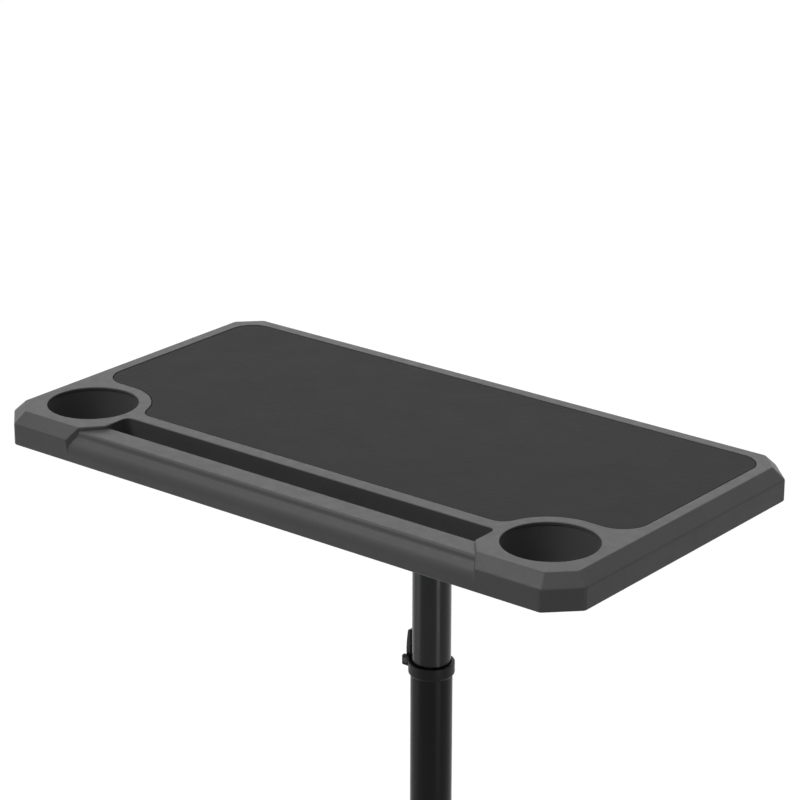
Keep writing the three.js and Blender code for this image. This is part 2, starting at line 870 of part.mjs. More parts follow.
// A plug for the rail's end, with a slightly domed cover.
function endCap() {
  const outline = (inset) =>
    rectangle(
      inset - railWidth / 2, railWidth / 2 - inset, inset, railHeight - inset, railRound - inset,
    );
  const ring = (inset, y) =>
    outline(inset).map((point) => new THREE.Vector3(point.x, point.y, y));
  const cover = loft([
    ring(0, seatGap),
    ring(0, seatGap + capThickness - capDome),
    ring(capDome, seatGap + capThickness),
  ]);
  const reach = railWall + fitGap;
  const plug = cut(
    prism(outline(reach), -capPlug, seatGap + capThickness / 2),
    prism(outline(reach + capPlugWall), -capPlug - overrun, -capPlugWall),
  );
  const turn = new THREE.Matrix4().set(-1, 0, 0, 0, 0, 0, 1, 0, 0, 1, 0, 0, 0, 0, 0, 1);
  return join(cover, plug).applyMatrix4(turn);
}

const footBoltPlaces = [-footBoltX, footBoltX].flatMap((x) =>
  [-footBoltY, footBoltY].map((y) => [x, y]),
);

function crossbar() {
  const end = railHalfTrack - railWidth / 2 - seatGap;
  const outside = rectangle(
    -crossbarDepth / 2, crossbarDepth / 2, railUnderside, railTop, railRound,
  );
  const inside = rectangle(
    crossbarWall - crossbarDepth / 2, crossbarDepth / 2 - crossbarWall,
    railUnderside + crossbarWall, railTop - crossbarWall, railRound - crossbarWall,
  );
  const threads = [-1, 1].flatMap((side) =>
    [-railBoltSpread, railBoltSpread].map((y) => {
      const from = end - crossbarPlug - overrun;
      return rod(railBoltRadius + fitGap, from, end + overrun)
        .rotateY((side * Math.PI) / 2)
        .translate(0, y, railMiddle);
    }),
  );
  const holes = footBoltPlaces.map(([x, y]) =>
    rod(footBoltRadius + fitGap, railTop - crossbarWall - overrun, railTop + overrun)
      .translate(x, y, 0),
  );
  return cut(
    alongX(outside, -end, end),
    alongX(inside, crossbarPlug - end, end - crossbarPlug),
    ...threads,
    ...holes,
  );
}

function columnFoot() {
  const outside = outerRadius + fitGap + footSocketWall;
  const plate = prism(
    rectangle(-footWidth / 2, footWidth / 2, -crossbarDepth / 2, crossbarDepth / 2, footRound),
    footUnderside,
    footTop,
  );
  const sleeve = rod(outside, footTop - footThickness / 2, footTop + footSocketHeight, tubeSteps);
  const bore = rod(
    outerRadius + fitGap, footTop, footTop + footSocketHeight + overrun, tubeSteps,
  );
  const inside = outside - footSocketWall / 2;
  const web = alongY(
    [
      new THREE.Vector2(inside, footTop - footThickness / 2),
      new THREE.Vector2(footWidth / 2 - footRound, footTop - footThickness / 2),
      new THREE.Vector2(footWidth / 2 - footRound, footTop),
      new THREE.Vector2(outside, footTop + footSocketHeight - footThickness),
      new THREE.Vector2(inside, footTop + footSocketHeight - footThickness),
    ],
    -gussetThickness / 2,
    gussetThickness / 2,
  );
  const holes = footBoltPlaces.map(([x, y]) =>
    rod(footBoltRadius + fitGap, footUnderside - overrun, footTop + overrun).translate(x, y, 0),
  );
  return cut(join(plate, sleeve, web, web.clone().rotateZ(Math.PI)), bore, ...holes);
}

// Castors, drawn with the swivel axis on Z and the wheel behind it

function casterStem() {
  const flangeFoot = crownTop + seatGap;
  const hexFoot = flangeFoot + stemFlangeHeight;
  const rivetTop = crownUnderside - seatGap;
  const post = turned(
    [
      [0, rivetTop - swivelRivetHeight],
      [swivelRivet, rivetTop - swivelRivetHeight],
      [swivelRivet, rivetTop],
      [swivelRadius, rivetTop],
      [swivelRadius, flangeFoot],
      [stemFlange, flangeFoot],
      [stemFlange, hexFoot],
      [stemThread, hexFoot],
      [stemThread, railUnderside + stemRise],
      [0, railUnderside + stemRise],
    ],
    swivelSteps,
  );
  return join(post, rod(stemHex, hexFoot - stemFlangeHeight / 2, railUnderside - seatGap, hexSides));
}

function casterFork() {
  const crown = join(
    rod(crownRadius, crownUnderside, crownTop, swivelSteps),
    block(
      -forkOutside, forkOutside, -forkNose, pedalPivotBehind / 2, crownUnderside, crownTop,
    ),
  );
  const eye = rounded(
    [
      [-forkNose, crownTop],
      [-forkNose, crownUnderside - crownThickness, crownRadius],
      [wheelTrail - forkEye, wheelRadius - forkEye, forkEye],
      [wheelTrail + forkEye, wheelRadius - forkEye, forkEye],
      [forkTail, crownUnderside - crownThickness, crownRadius],
      [forkTail, crownTop],
    ],
    true,
    coarseArcSteps,
  );
  const legs = [-forkOutside, forkInside].map((x) => alongX(eye, x, x + forkPlate));
  const through = (radius, y, z) =>
    rod(radius, -crownRadius - overrun, crownRadius + overrun).rotateY(Math.PI / 2).translate(0, y, z);
  return cut(
    join(crown, ...legs),
    rod(swivelRadius + fitGap, crownUnderside - overrun, crownTop + overrun, swivelSteps),
    through(axleRadius + fitGap, wheelTrail, wheelRadius),
    through(pedalTrunnion + fitGap, pedalPivotBehind, crownTop - pedalPivotBelow),
  );
}

// Tyre, rim, dished web and hub in one turned profile.
function casterWheel() {
  const bore = axleRadius + fitGap;
  const rimInside = wheelRadius - wheelRim;
  const web = wheelHalfWidth - wheelWebDip;
  const half = [
    [bore, hubHalfWidth],
    [hubRadius, hubHalfWidth],
    [hubRadius, web],
    [rimInside, web],
    [rimInside, wheelHalfWidth],
    [wheelRadius, wheelHalfWidth, wheelEdge],
  ];
  const far = half.map(([r, x, round]) => [r, -x, round]);
  return turned([...far, ...half.reverse()], wheelSteps, 1).rotateY(Math.PI / 2);
}

function casterAxle() {
  const seat = forkOutside + seatGap;
  const end = seat + axleHeadHeight;
  return turned([
    [0, -end],
    [axleHeadRadius, -end],
    [axleHeadRadius, -seat],
    [axleRadius, -seat],
    [axleRadius, seat],
    [axleHeadRadius, seat],
    [axleHeadRadius, end],
    [0, end],
  ]).rotateY(Math.PI / 2);
}

// Foot pedal of the brake: arm, pivot boss with trunnions, and the shoe over the tyre.
function brakePedal() {
  const half = forkInside - fitGap;
  const arm = rounded([
    [0, pedalBoss],
    [-pedalBoss, 0, pedalBoss],
    [0, -pedalBoss, pedalBoss / 2],
    [pedalShoe, -pedalShoeDrop],
    [pedalShoe + pedalBoss, -pedalFall / 2],
    [pedalReach, -pedalFall - pedalThickness / 2, pedalThickness * pedalEdgeShare],
    [pedalReach, -pedalFall + pedalThickness / 2, pedalThickness * pedalEdgeShare],
  ]);
  return join(
    alongX(arm, -half, half),
    rod(pedalTrunnion, -forkOutside, forkOutside).rotateY(Math.PI / 2),
  );
}

// Assembly

function piece(name, geometry, material, x = 0, y = 0, z = 0) {
  const clean = geometryOf(solidOf(geometry));
  const mesh = new THREE.Mesh(toCreasedNormals(clean, creaseAngle), material);
  mesh.name = name;
  mesh.position.set(x, y, z);
  return mesh;
}

const trayGroup = new THREE.Group();
trayGroup.position.set(0, -columnSetback, deskHeight);
trayGroup.add(
  piece("tabletop_shell", tabletopShell(), charcoalPlastic),
  piece(
    "desk_mat",
    prism(matPlan(-matSeam), seatGap - matRecess, seatGap - matRecess + matThickness),
    matRubber,
  ),
  piece("underside_pan", underPan(), blackPlastic),
  piece("cup_well_left", cupWell(), blackPlastic, -cupX, cupY),
  piece("cup_well_right", cupWell(), blackPlastic, cupX, cupY),
);
const panScrew = screw(screwRadius, bossDepth, screwHead, screwHeadHeight).rotateX(Math.PI);
panScrewPlaces.forEach(([x, y], i) => {
  const z = trayUnderside - seatGap;
  trayGroup.add(piece(`pan_screw_${i + 1}`, panScrew, blackSteel, x, y, z));
});
mountScrewPlaces.forEach(([x, y], i) => {
  const z = plateUnderside - seatGap;
  trayGroup.add(piece(`mount_screw_${i + 1}`, panScrew, blackSteel, x, y, z));
});

const headGroup = new THREE.Group();
headGroup.position.set(0, 0, deskHeight);
const sleeveOutside = innerRadius + fitGap + socketWall;
const socketScrewLength = sleeveOutside + seatGap - innerRadius + innerTubeWall + socketScrewBite;
headGroup.add(
  piece("mount_plate", mountPlate(), basePaint),
  piece("inner_tube", innerTube(), columnPaint),
  piece("glide_bush", glideBush(), blackPlastic),
  piece(
    "socket_screw",
    screw(socketScrewRadius, socketScrewLength, socketScrewHead, socketScrewHeadHeight)
      .rotateX(-Math.PI / 2),
    blackSteel,
    0,
    sleeveOutside + seatGap,
    plateUnderside - socketScrewDrop,
  ),
);

const baseGroup = new THREE.Group();
baseGroup.add(
  piece("outer_tube", outerTube(), columnPaint),
  piece("clamp_collar", clampCollar(), blackPlastic),
  piece("clamp_lever", clampLever(), blackPlastic, -pinFromAxis, 0, pinHeight),
  piece("clamp_pin", clampPin(), blackSteel, -pinFromAxis, 0, pinHeight),
  piece("clamp_nut", clampNut(), blackSteel, -pinFromAxis, 0, pinHeight),
  piece("pressure_pad", pressurePad(), blackPlastic),
  piece("column_foot", columnFoot(), basePaint),
  piece("base_crossbar", crossbar(), basePaint),
);
const footBolt = screw(footBoltRadius, footBoltLength, footBoltHead, footBoltHeadHeight);
footBoltPlaces.forEach(([x, y], i) => {
  baseGroup.add(piece(`foot_bolt_${i + 1}`, footBolt, blackSteel, x, y, footTop + seatGap));
});

for (const [side, sign] of [["left", -1], ["right", 1]]) {
  const x = sign * railHalfTrack;
  baseGroup.add(piece(`rail_${side}`, rail(), basePaint, x, 0, railUnderside));
  const boltLength = railWidth + crossbarPlug;
  const bolt = screw(railBoltRadius, boltLength, railBoltHead, railBoltHeadHeight)
    .rotateY((sign * Math.PI) / 2);
  for (const [place, along] of [["front", -1], ["rear", 1]]) {
    const boltX = sign * (railHalfTrack + railWidth / 2 + seatGap);
    const boltName = `rail_bolt_${side}_${place}`;
    baseGroup.add(piece(boltName, bolt, blackSteel, boltX, along * railBoltSpread, railMiddle));
    const cap = endCap().rotateZ(along > 0 ? 0 : Math.PI);
    const capName = `end_cap_${side}_${place}`;
    baseGroup.add(piece(capName, cap, blackPlastic, x, (along * railLength) / 2, railUnderside));
    const y = along * casterY;
    const corner = `${side}_${place}`;
    baseGroup.add(
      piece(`caster_stem_${corner}`, casterStem(), zincSteel, x, y),
      piece(`caster_fork_${corner}`, casterFork(), blackPlastic, x, y),
      piece(`caster_wheel_${corner}`, casterWheel(), tyreRubber, x, y + wheelTrail, wheelRadius),
      piece(`caster_axle_${corner}`, casterAxle(), zincSteel, x, y + wheelTrail, wheelRadius),
    );
    if (place === "front") {
      const pivotZ = crownTop - pedalPivotBelow;
      const pedal = piece(
        `brake_pedal_${side}`, brakePedal(), charcoalPlastic, x, y + pedalPivotBehind, pivotZ,
      );
      baseGroup.add(pedal);
    }
  }
}

const desk = new THREE.Group();
desk.add(baseGroup, headGroup, trayGroup);

export default desk;
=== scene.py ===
"""Height-adjustable desk for an indoor bicycle trainer: the finished surfaces of its frame.

Metres, +Z up, +X to the rider's right, +Y away from the rider. The origin is on the floor, on the
axis of the column. Sizes are written in millimetres times MM.
"""

import logging
import math
from collections.abc import Callable, Iterable, Sequence
from dataclasses import dataclass
from enum import Enum
from functools import cache, cached_property

import bmesh
import bpy
from mathutils import Matrix, Vector


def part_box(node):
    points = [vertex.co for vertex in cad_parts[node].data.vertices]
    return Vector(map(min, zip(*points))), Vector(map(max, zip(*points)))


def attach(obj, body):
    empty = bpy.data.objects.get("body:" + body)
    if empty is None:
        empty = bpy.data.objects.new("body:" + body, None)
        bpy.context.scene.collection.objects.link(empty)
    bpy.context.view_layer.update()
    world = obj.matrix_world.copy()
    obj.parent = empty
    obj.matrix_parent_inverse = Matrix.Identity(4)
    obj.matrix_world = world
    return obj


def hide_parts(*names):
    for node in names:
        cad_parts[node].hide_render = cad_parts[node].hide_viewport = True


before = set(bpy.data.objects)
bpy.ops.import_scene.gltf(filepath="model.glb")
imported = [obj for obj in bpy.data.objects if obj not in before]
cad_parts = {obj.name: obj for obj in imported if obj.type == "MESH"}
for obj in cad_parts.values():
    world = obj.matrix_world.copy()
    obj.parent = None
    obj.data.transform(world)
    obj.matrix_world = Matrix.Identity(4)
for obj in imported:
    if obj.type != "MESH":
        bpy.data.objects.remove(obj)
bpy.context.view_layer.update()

log = logging.getLogger("desk")

MM = 0.001
OVERRUN = 2 * MM  # how far a cutting shape passes the face that it opens
FINE = 96  # divisions of a large round
ROUND = 48  # divisions of a small round
CREASE = math.radians(28)  # a steeper edge stays sharp
QUARTER = math.pi / 2
NOISE_RANGE = (0.3, 0.7)  # between which nearly all of a noise's levels lie
FACE_TO_EDGE = (0.995, 0.86)  # cosine between true and softened normal, on a face and on an edge

Colour = tuple[float, float, float, float]
Corner = tuple[float, ...]
Piece = bpy.types.Object
Socket = bpy.types.NodeSocket
Material = bpy.types.Material

# Drawing planes: an outline's own axes and its thickness, laid along the part's axes
FLAT = Matrix.Identity(4)
ACROSS = Matrix(((0, 0, 1, 0), (1, 0, 0, 0), (0, 1, 0, 0), (0, 0, 0, 1)))  # outline in Y and Z
ALONG = Matrix(((1, 0, 0, 0), (0, 0, 1, 0), (0, 1, 0, 0), (0, 0, 0, 1)))  # outline in X and Z

# Turns that lay a piece's Z axis along another axis
TO_X = Matrix.Rotation(QUARTER, 4, "Y")
TO_Y = Matrix.Rotation(-QUARTER, 4, "X")

DIAGONALS = [eighth * math.pi / 4 for eighth in (1, 3, 5, 7)]
CORNER_NUMBERS = range(1, 5)  # ends of the names of screws and bolts that come in fours


class Named(Enum):
    """A value whose name is part of a piece's name."""

    @property
    def word(self) -> str:
        """The value's part of a piece's name."""
        return self.name.lower()


class Side(Named):
    """Left or right, as the rider sees it, with the sign of X."""

    LEFT = -1
    RIGHT = 1


class Place(Named):
    """Front, towards the rider, or rear, with the sign of Y."""

    FRONT = -1
    REAR = 1


class Carve(Enum):
    """What a boolean does with its tools."""

    CUT = "DIFFERENCE"
    JOIN = "UNION"
    KEEP = "INTERSECT"


class Slot(Enum):
    """The record's material slots."""

    TRAY = "tray_plastic"
    PLASTIC = "black_plastic"
    MAT = "mat_rubber"
    COLUMN = "column_paint"
    BASE = "base_paint"
    TYRE = "wheel_rubber"
    ZINC = "zinc_steel"
    STEEL = "black_steel"


def shift(x: float = 0.0, y: float = 0.0, z: float = 0.0) -> Matrix:
    """A move, as a matrix."""
    return Matrix.Translation((x, y, z))


def grey(level: float, tint: tuple[float, float, float] = (1.0, 1.0, 1.0)) -> Colour:
    """A linear colour from an 8-bit display level.

    Args:
        level: the display level, 0 to 255.
        tint: what each linear channel is multiplied by.

    Returns:
        Red, green, blue and alpha.
    """
    share = level / 255
    linear = share / 12.92 if share <= 0.04045 else ((share + 0.055) / 1.055) ** 2.4
    return (linear * tint[0], linear * tint[1], linear * tint[2], 1.0)


# Places in the frame


def middle(node: str) -> tuple[float, ...]:
    """The middle of a frame node's box."""
    return tuple((low + high) / 2 for low, high in zip(*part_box(node)))


def half_span(node: str) -> float:
    """Half of a frame node's size along X, which is the radius of a round one."""
    low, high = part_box(node)
    return (high.x - low.x) / 2


def upright(node: str) -> Matrix:
    """A move to the vertical line through the middle of a frame node."""
    return shift(*middle(node)[:2])


# Outlines


def rounded(corners: Sequence[Corner], steps: int = 6, closed: bool = True) -> list[Vector]:
    """Turns a corner list into points, each corner with its radius.

    Args:
        corners: x, y and, where a corner is rounded, its radius.
        steps: divisions of each round.
        closed: whether the last corner joins the first.

    Returns:
        The outline's points.
    """
    points = []
    for i, (x, y, *rest) in enumerate(corners):
        here = Vector((x, y))
        radius = rest[0] if rest else 0
        if radius <= 0 or (not closed and i in (0, len(corners) - 1)):
            points.append(here)
            continue
        back = (Vector(corners[i - 1][:2]) - here).normalized()
        onward = (Vector(corners[(i + 1) % len(corners)][:2]) - here).normalized()
        half_angle = math.acos(max(-1.0, min(1.0, back.dot(onward)))) / 2
        centre = here + (back + onward).normalized() * radius / math.sin(half_angle)
        start = here + back * radius / math.tan(half_angle) - centre
        end = here + onward * radius / math.tan(half_angle) - centre
        sweep = math.atan2(start.x * end.y - start.y * end.x, start.dot(end))
        for k in range(steps + 1):
            points.append(centre + Matrix.Rotation(sweep * k / steps, 2) @ start)
    return points


def rectangle(
    x0: float, x1: float, y0: float, y1: float, radius: float, steps: int = 6
) -> list[Vector]:
    """A rectangle with rounded corners."""
    return rounded([(x0, y0, radius), (x1, y0, radius), (x1, y1, radius), (x0, y1, radius)], steps)


def arc(
    centre: Sequence[float], radius: float, start: float, end: float, steps: int
) -> list[Vector]:
    """Points on an arc, both ends included, from one angle to the other.

    Args:
        centre: the arc's centre.
        radius: its radius.
        start: the first angle.
        end: the last angle.
        steps: divisions of the arc.

    Returns:
        The points.
    """
    angles = [start + (end - start) * k / steps for k in range(steps + 1)]
    x, y = centre
    return [Vector((x + radius * math.cos(a), y + radius * math.sin(a))) for a in angles]


def drawn_in(outline: Sequence[Vector], distance: float) -> list[Vector]:
    """Moves every side of a closed outline inwards.

    Args:
        outline: the points, either way round.
        distance: how far, in metres.

    Returns:
        As many points as were given.
    """
    area = sum(a.x * b.y - a.y * b.x for a, b in zip(outline, [*outline[1:], outline[0]]))
    turn = 1 if area > 0 else -1
    moved = []
    for i, here in enumerate(outline):
        before = (here - outline[i - 1]).normalized()
        after = (outline[(i + 1) % len(outline)] - here).normalized()
        first = Vector((-before.y, before.x)) * turn
        second = Vector((-after.y, after.x)) * turn
        moved.append(here + (first + second) * distance / (1 + first.dot(second)))
    return moved


def raised(outline: Iterable[Vector], height: float) -> list[Vector]:
    """An outline at a height."""
    return [Vector((point.x, point.y, height)) for point in outline]


def quarter_round(radius: float, steps: int) -> list[tuple[float, float]]:
    """The steps of a rounded edge.

    Args:
        radius: the edge's radius.
        steps: divisions of the round.

    Returns:
        For each step, how far it lies inside the first face's edge and above that face.
    """
    angles = [QUARTER * k / steps for k in range(steps + 1)]
    return [(radius * (1 - math.sin(a)), radius * (1 - math.cos(a))) for a in angles]


# Solids


def linked(name: str, data: bpy.types.ID) -> Piece:
    """A new object in the scene.

    Args:
        name: the object's name.
        data: its mesh, lamp or camera.

    Returns:
        The object.
    """
    piece = bpy.data.objects.new(name, data)
    bpy.context.scene.collection.objects.link(piece)
    return piece


def solid(
    name: str, points: Iterable[Vector], faces: Iterable[Sequence[int]], place: Matrix = FLAT
) -> Piece:
    """Makes a closed piece whose faces point outwards, with its place in its mesh.

    Args:
        name: the piece's name.
        points: its corners.
        faces: corner numbers of each face.
        place: where the piece goes.

    Returns:
        The piece, linked to the scene.
    """
    mesh = bpy.data.meshes.new(name)
    corners = [tuple(place @ point) for point in points]
    mesh.from_pydata(corners, [], [tuple(face) for face in faces])
    shape = bmesh.new()
    shape.from_mesh(mesh)
    bmesh.ops.remove_doubles(shape, verts=shape.verts, dist=0.001 * MM)
    bmesh.ops.recalc_face_normals(shape, faces=shape.faces)
    shape.to_mesh(mesh)
    shape.free()
    return linked(name, mesh)


def loft(
    name: str, rings: Sequence[Sequence[Vector]], closed: bool = False, place: Matrix = FLAT
) -> Piece:
    """Joins rings of equal point count into one skin.

    Args:
        name: the piece's name.
        rings: the rings, in order.
        closed: whether the last ring joins the first; otherwise both ends get a flat face.
        place: where the piece goes.

    Returns:
        The piece.
    """
    count = len(rings[0])
    faces = []
    for ring in range(len(rings) if closed else len(rings) - 1):
        here, onward = ring * count, (ring + 1) % len(rings) * count
        for i in range(count):
            j = (i + 1) % count
            faces.append((here + i, here + j, onward + j, onward + i))
    if not closed:
        faces.append(tuple(range(count)))
        faces.append(tuple(range((len(rings) - 1) * count, len(rings) * count)))
    return solid(name, [point for ring in rings for point in ring], faces, place)


def turned(
    name: str, corners: Sequence[Corner], steps: int = FINE, place: Matrix = FLAT, bend: int = 4
) -> Piece:
    """Turns a profile about the Z axis.

    Args:
        name: the piece's name.
        corners: radius, height and rounding of each corner. The profile closes on itself, or on
            the axis.
        steps: divisions of the full turn.
        place: where the piece goes.
        bend: divisions of each rounded corner.

    Returns:
        The piece.
    """
    solid_core = corners[0][0] == 0
    profile = rounded(corners, bend, closed=not solid_core)
    points: list[Vector] = []
    rings: list[list[int]] = []
    for radius, height in profile:
        on_axis = radius == 0
        ring = []
        for k in range(1 if on_axis else steps):
            angle = 2 * math.pi * k / steps
            ring.append(len(points))
            points.append(Vector((radius * math.cos(angle), radius * math.sin(angle), height)))
        rings.append(ring * steps if on_axis else ring)
    faces = []
    for i in range(len(rings) - (1 if solid_core else 0)):
        low, high = rings[i], rings[(i + 1) % len(rings)]
        for k in range(steps):
            j = (k + 1) % steps
            face = [low[k], low[j], high[j], high[k]]
            unique = list(dict.fromkeys(face))
            if len(unique) > 2:
                faces.append(unique)
    return solid(name, points, faces, place)


def rod(
    name: str, radius: float, low: float, high: float, place: Matrix = FLAT, steps: int = ROUND
) -> Piece:
    """A plain round bar along Z."""
    return turned(name, [(0, low), (radius, low), (radius, high), (0, high)], steps, place)


def drill(
    name: str, radius: float, low: float, high: float, place: Matrix = FLAT, steps: int = ROUND
) -> Piece:
    """A round bar along Z that passes the two faces of what it cuts."""
    return rod(name, radius, low - OVERRUN, high + OVERRUN, place, steps)


def soft_prism(
    name: str,
    outline: Sequence[Vector],
    low: float,
    high: float,
    edge: float,
    place: Matrix = FLAT,
    steps: int = 3,
) -> Piece:
    """Raises an outline and rounds the edges of both its faces.

    Args:
        name: the piece's name.
        outline: the outline's points.
        low: height of the first face.
        high: height of the second face.
        edge: radius of the rounded edges.
        place: where the piece goes.
        steps: divisions of each rounded edge.

    Returns:
        The piece.
    """
    turn = quarter_round(edge, steps)
    rings = [raised(drawn_in(outline, inset), low + rise) for inset, rise in turn]
    rings += [raised(drawn_in(outline, inset), high - fall) for fall, inset in turn]
    return loft(name, rings, place=place)


def prism(
    name: str, outline: Sequence[Vector], low: float, high: float, place: Matrix = FLAT
) -> Piece:
    """An outline raised from one height to another, with plain edges."""
    return loft(name, [raised(outline, low), raised(outline, high)], place=place)


def brick(
    name: str, x: tuple[float, float], y: tuple[float, float], z: tuple[float, float]
) -> Piece:
    """A plain box between two limits on each axis, used to cut."""
    return prism(name, [Vector((x[i], y[j])) for i, j in ((0, 0), (1, 0), (1, 1), (0, 1))], *z)


def settled(piece: Piece) -> Piece:
    """Turns a piece and its modifiers into one plain mesh.

    Args:
        piece: the piece, which is changed.

    Returns:
        The same piece, with no modifier left.
    """
    graph = bpy.context.evaluated_depsgraph_get()
    plain = bpy.data.meshes.new_from_object(piece.evaluated_get(graph))
    piece.modifiers.clear()
    worn = piece.data
    piece.data = plain
    bpy.data.meshes.remove(worn)
    plain.name = piece.name
    return piece


def carved(body: Piece, how: Carve, *tools: Piece) -> Piece:
    """Cuts tools out of a body, or joins them to it, and removes the tools.

    Args:
        body: the piece that is changed.
        how: what is done with the tools.
        tools: closed pieces.

    Returns:
        The changed body.
    """
    for tool in tools:
        step = body.modifiers.new(tool.name, "BOOLEAN")
        step.operation = how.value
        step.solver = "MANIFOLD"
        step.object = tool
    settled(body)
    for tool in tools:
        bpy.data.objects.remove(tool)
    return body


def copied(piece: Piece, place: Matrix) -> Piece:
    """A copy of a piece at another place, with its faces pointing outwards.

    Args:
        piece: the piece that is copied.
        place: what its mesh is moved or mirrored by.

    Returns:
        The copy.
    """
    twin = piece.copy()
    twin.data = piece.data.copy()
    twin.data.transform(place)
    if place.determinant() < 0:
        twin.data.flip_normals()
    bpy.context.scene.collection.objects.link(twin)
    return twin


def smoothed(piece: Piece, crease: float = CREASE) -> Piece:
    """Shades a piece smooth, with steeper edges left sharp and flat faces left flat.

    Args:
        piece: the piece, which is changed.
        crease: the angle above which an edge stays sharp.

    Returns:
        The same piece.
    """
    piece.data.shade_smooth()
    piece.data.set_sharp_from_angle(angle=crease)
    weighting = piece.modifiers.new("flat faces rule", "WEIGHTED_NORMAL")
    weighting.keep_sharp = True
    return settled(piece)


# Node sheets


class NodeSheet:
    """A node tree that is written one node at a time."""

    def __init__(self, tree: bpy.types.NodeTree) -> None:
        """Takes the tree that the nodes go to."""
        self.tree = tree

    def add(self, kind: str, inputs: dict | None = None, **settings: object) -> bpy.types.Node:
        """Adds a node.

        Args:
            kind: Blender's name for the node.
            inputs: a value or another node's output for each named or numbered socket.
            settings: the node's own properties.

        Returns:
            The node.
        """
        node = self.tree.nodes.new(kind)
        for name, value in settings.items():
            setattr(node, name, value)
        for key, value in (inputs or {}).items():
            self.give(node, key, value)
        return node

    def give(self, node: bpy.types.Node, key: str | int, value: object) -> None:
        """Gives one of a node's sockets a value or a link."""
        socket = node.inputs[key]
        if isinstance(value, Socket):
            self.tree.links.new(value, socket)
        else:
            socket.default_value = value

    def maths(self, how: str, first: object, second: object) -> Socket:
        """The result of a sum with two terms."""
        return self.add("ShaderNodeMath", {0: first, 1: second}, operation=how).outputs[0]

    def ranged(
        self, value: Socket, low: float, high: float, start: float = 0.0, end: float = 1.0
    ) -> Socket:
        """A value carried from one range, start to end, to another, low to high."""
        limits = {"From Min": start, "From Max": end, "To Min": low, "To Max": high}
        return self.add("ShaderNodeMapRange", {"Value": value} | limits).outputs[0]


class Pattern(NodeSheet):
    """A geometry tree with named inputs that sets copies of one shape on a mesh of seats."""

    KINDS = {float: "NodeSocketFloat", int: "NodeSocketInt", Vector: "NodeSocketVector"}

    def __init__(self, name: str, sizes: dict[str, type]) -> None:
        """Makes the tree with an input for the seats, for each size and for the finish.

        Args:
            name: the tree's name.
            sizes: name and type of each size.
        """
        super().__init__(bpy.data.node_groups.new(name, "GeometryNodeTree"))
        face = self.tree.interface
        face.new_socket("Seats", in_out="INPUT", socket_type="NodeSocketGeometry")
        for size, kind in sizes.items():
            face.new_socket(size, in_out="INPUT", socket_type=self.KINDS[kind])
        face.new_socket("Finish", in_out="INPUT", socket_type="NodeSocketMaterial")
        face.new_socket("Pieces", in_out="OUTPUT", socket_type="NodeSocketGeometry")
        self.given = self.add("NodeGroupInput").outputs

    def cylinder(self, sides: int, radius: Socket, depth: Socket) -> bpy.types.Node:
        """Adds a cylinder whose middle is the origin."""
        sizes = {"Vertices": sides, "Radius": radius, "Depth": depth}
        return self.add("GeometryNodeMeshCylinder", sizes)

    def towards(self, aim: Socket, **settings: str) -> Socket:
        """The rotation that turns Z to a direction."""
        kind = "FunctionNodeAlignRotationToVector"
        return self.add(kind, {"Vector": aim}, axis="Z", **settings).outputs[0]

    def seat(self, shape: Socket, turn: Socket, scale: object = (1, 1, 1)) -> None:
        """Ends the tree: a copy of the shape on every seat, made real, in the finish.

        Args:
            shape: the geometry that is repeated.
            turn: each copy's rotation.
            scale: each copy's scale.
        """
        copies = self.add(
            "GeometryNodeInstanceOnPoints",
            {"Points": self.given["Seats"], "Instance": shape, "Rotation": turn, "Scale": scale},
        )
        real = self.add("GeometryNodeRealizeInstances", {"Geometry": copies.outputs[0]}).outputs[0]
        finish = {"Geometry": real, "Material": self.given["Finish"]}
        finished = self.add("GeometryNodeSetMaterial", finish).outputs[0]
        self.add("NodeGroupOutput", {"Pieces": finished})

    def run(self, name: str, seats: Sequence[Vector], paint: "Paint", **sizes: object) -> Piece:
        """Runs the tree once and keeps what it makes as a plain mesh.

        Args:
            name: the new piece's name.
            seats: where the copies go.
            paint: their finish.
            sizes: a value for each size, by its name with underscores for spaces.

        Returns:
            The piece.
        """
        points = bpy.data.meshes.new(name)
        points.from_pydata([tuple(seat) for seat in seats], [], [])
        piece = linked(name, points)
        step = piece.modifiers.new(self.tree.name, "NODES")
        step.node_group = self.tree
        values = {key.replace("_", " "): value for key, value in sizes.items()}
        values["Finish"] = painted(paint)
        for item in self.tree.interface.items_tree:
            if item.in_out == "INPUT" and item.name in values:
                step[item.identifier] = values[item.name]
        return smoothed(settled(piece))


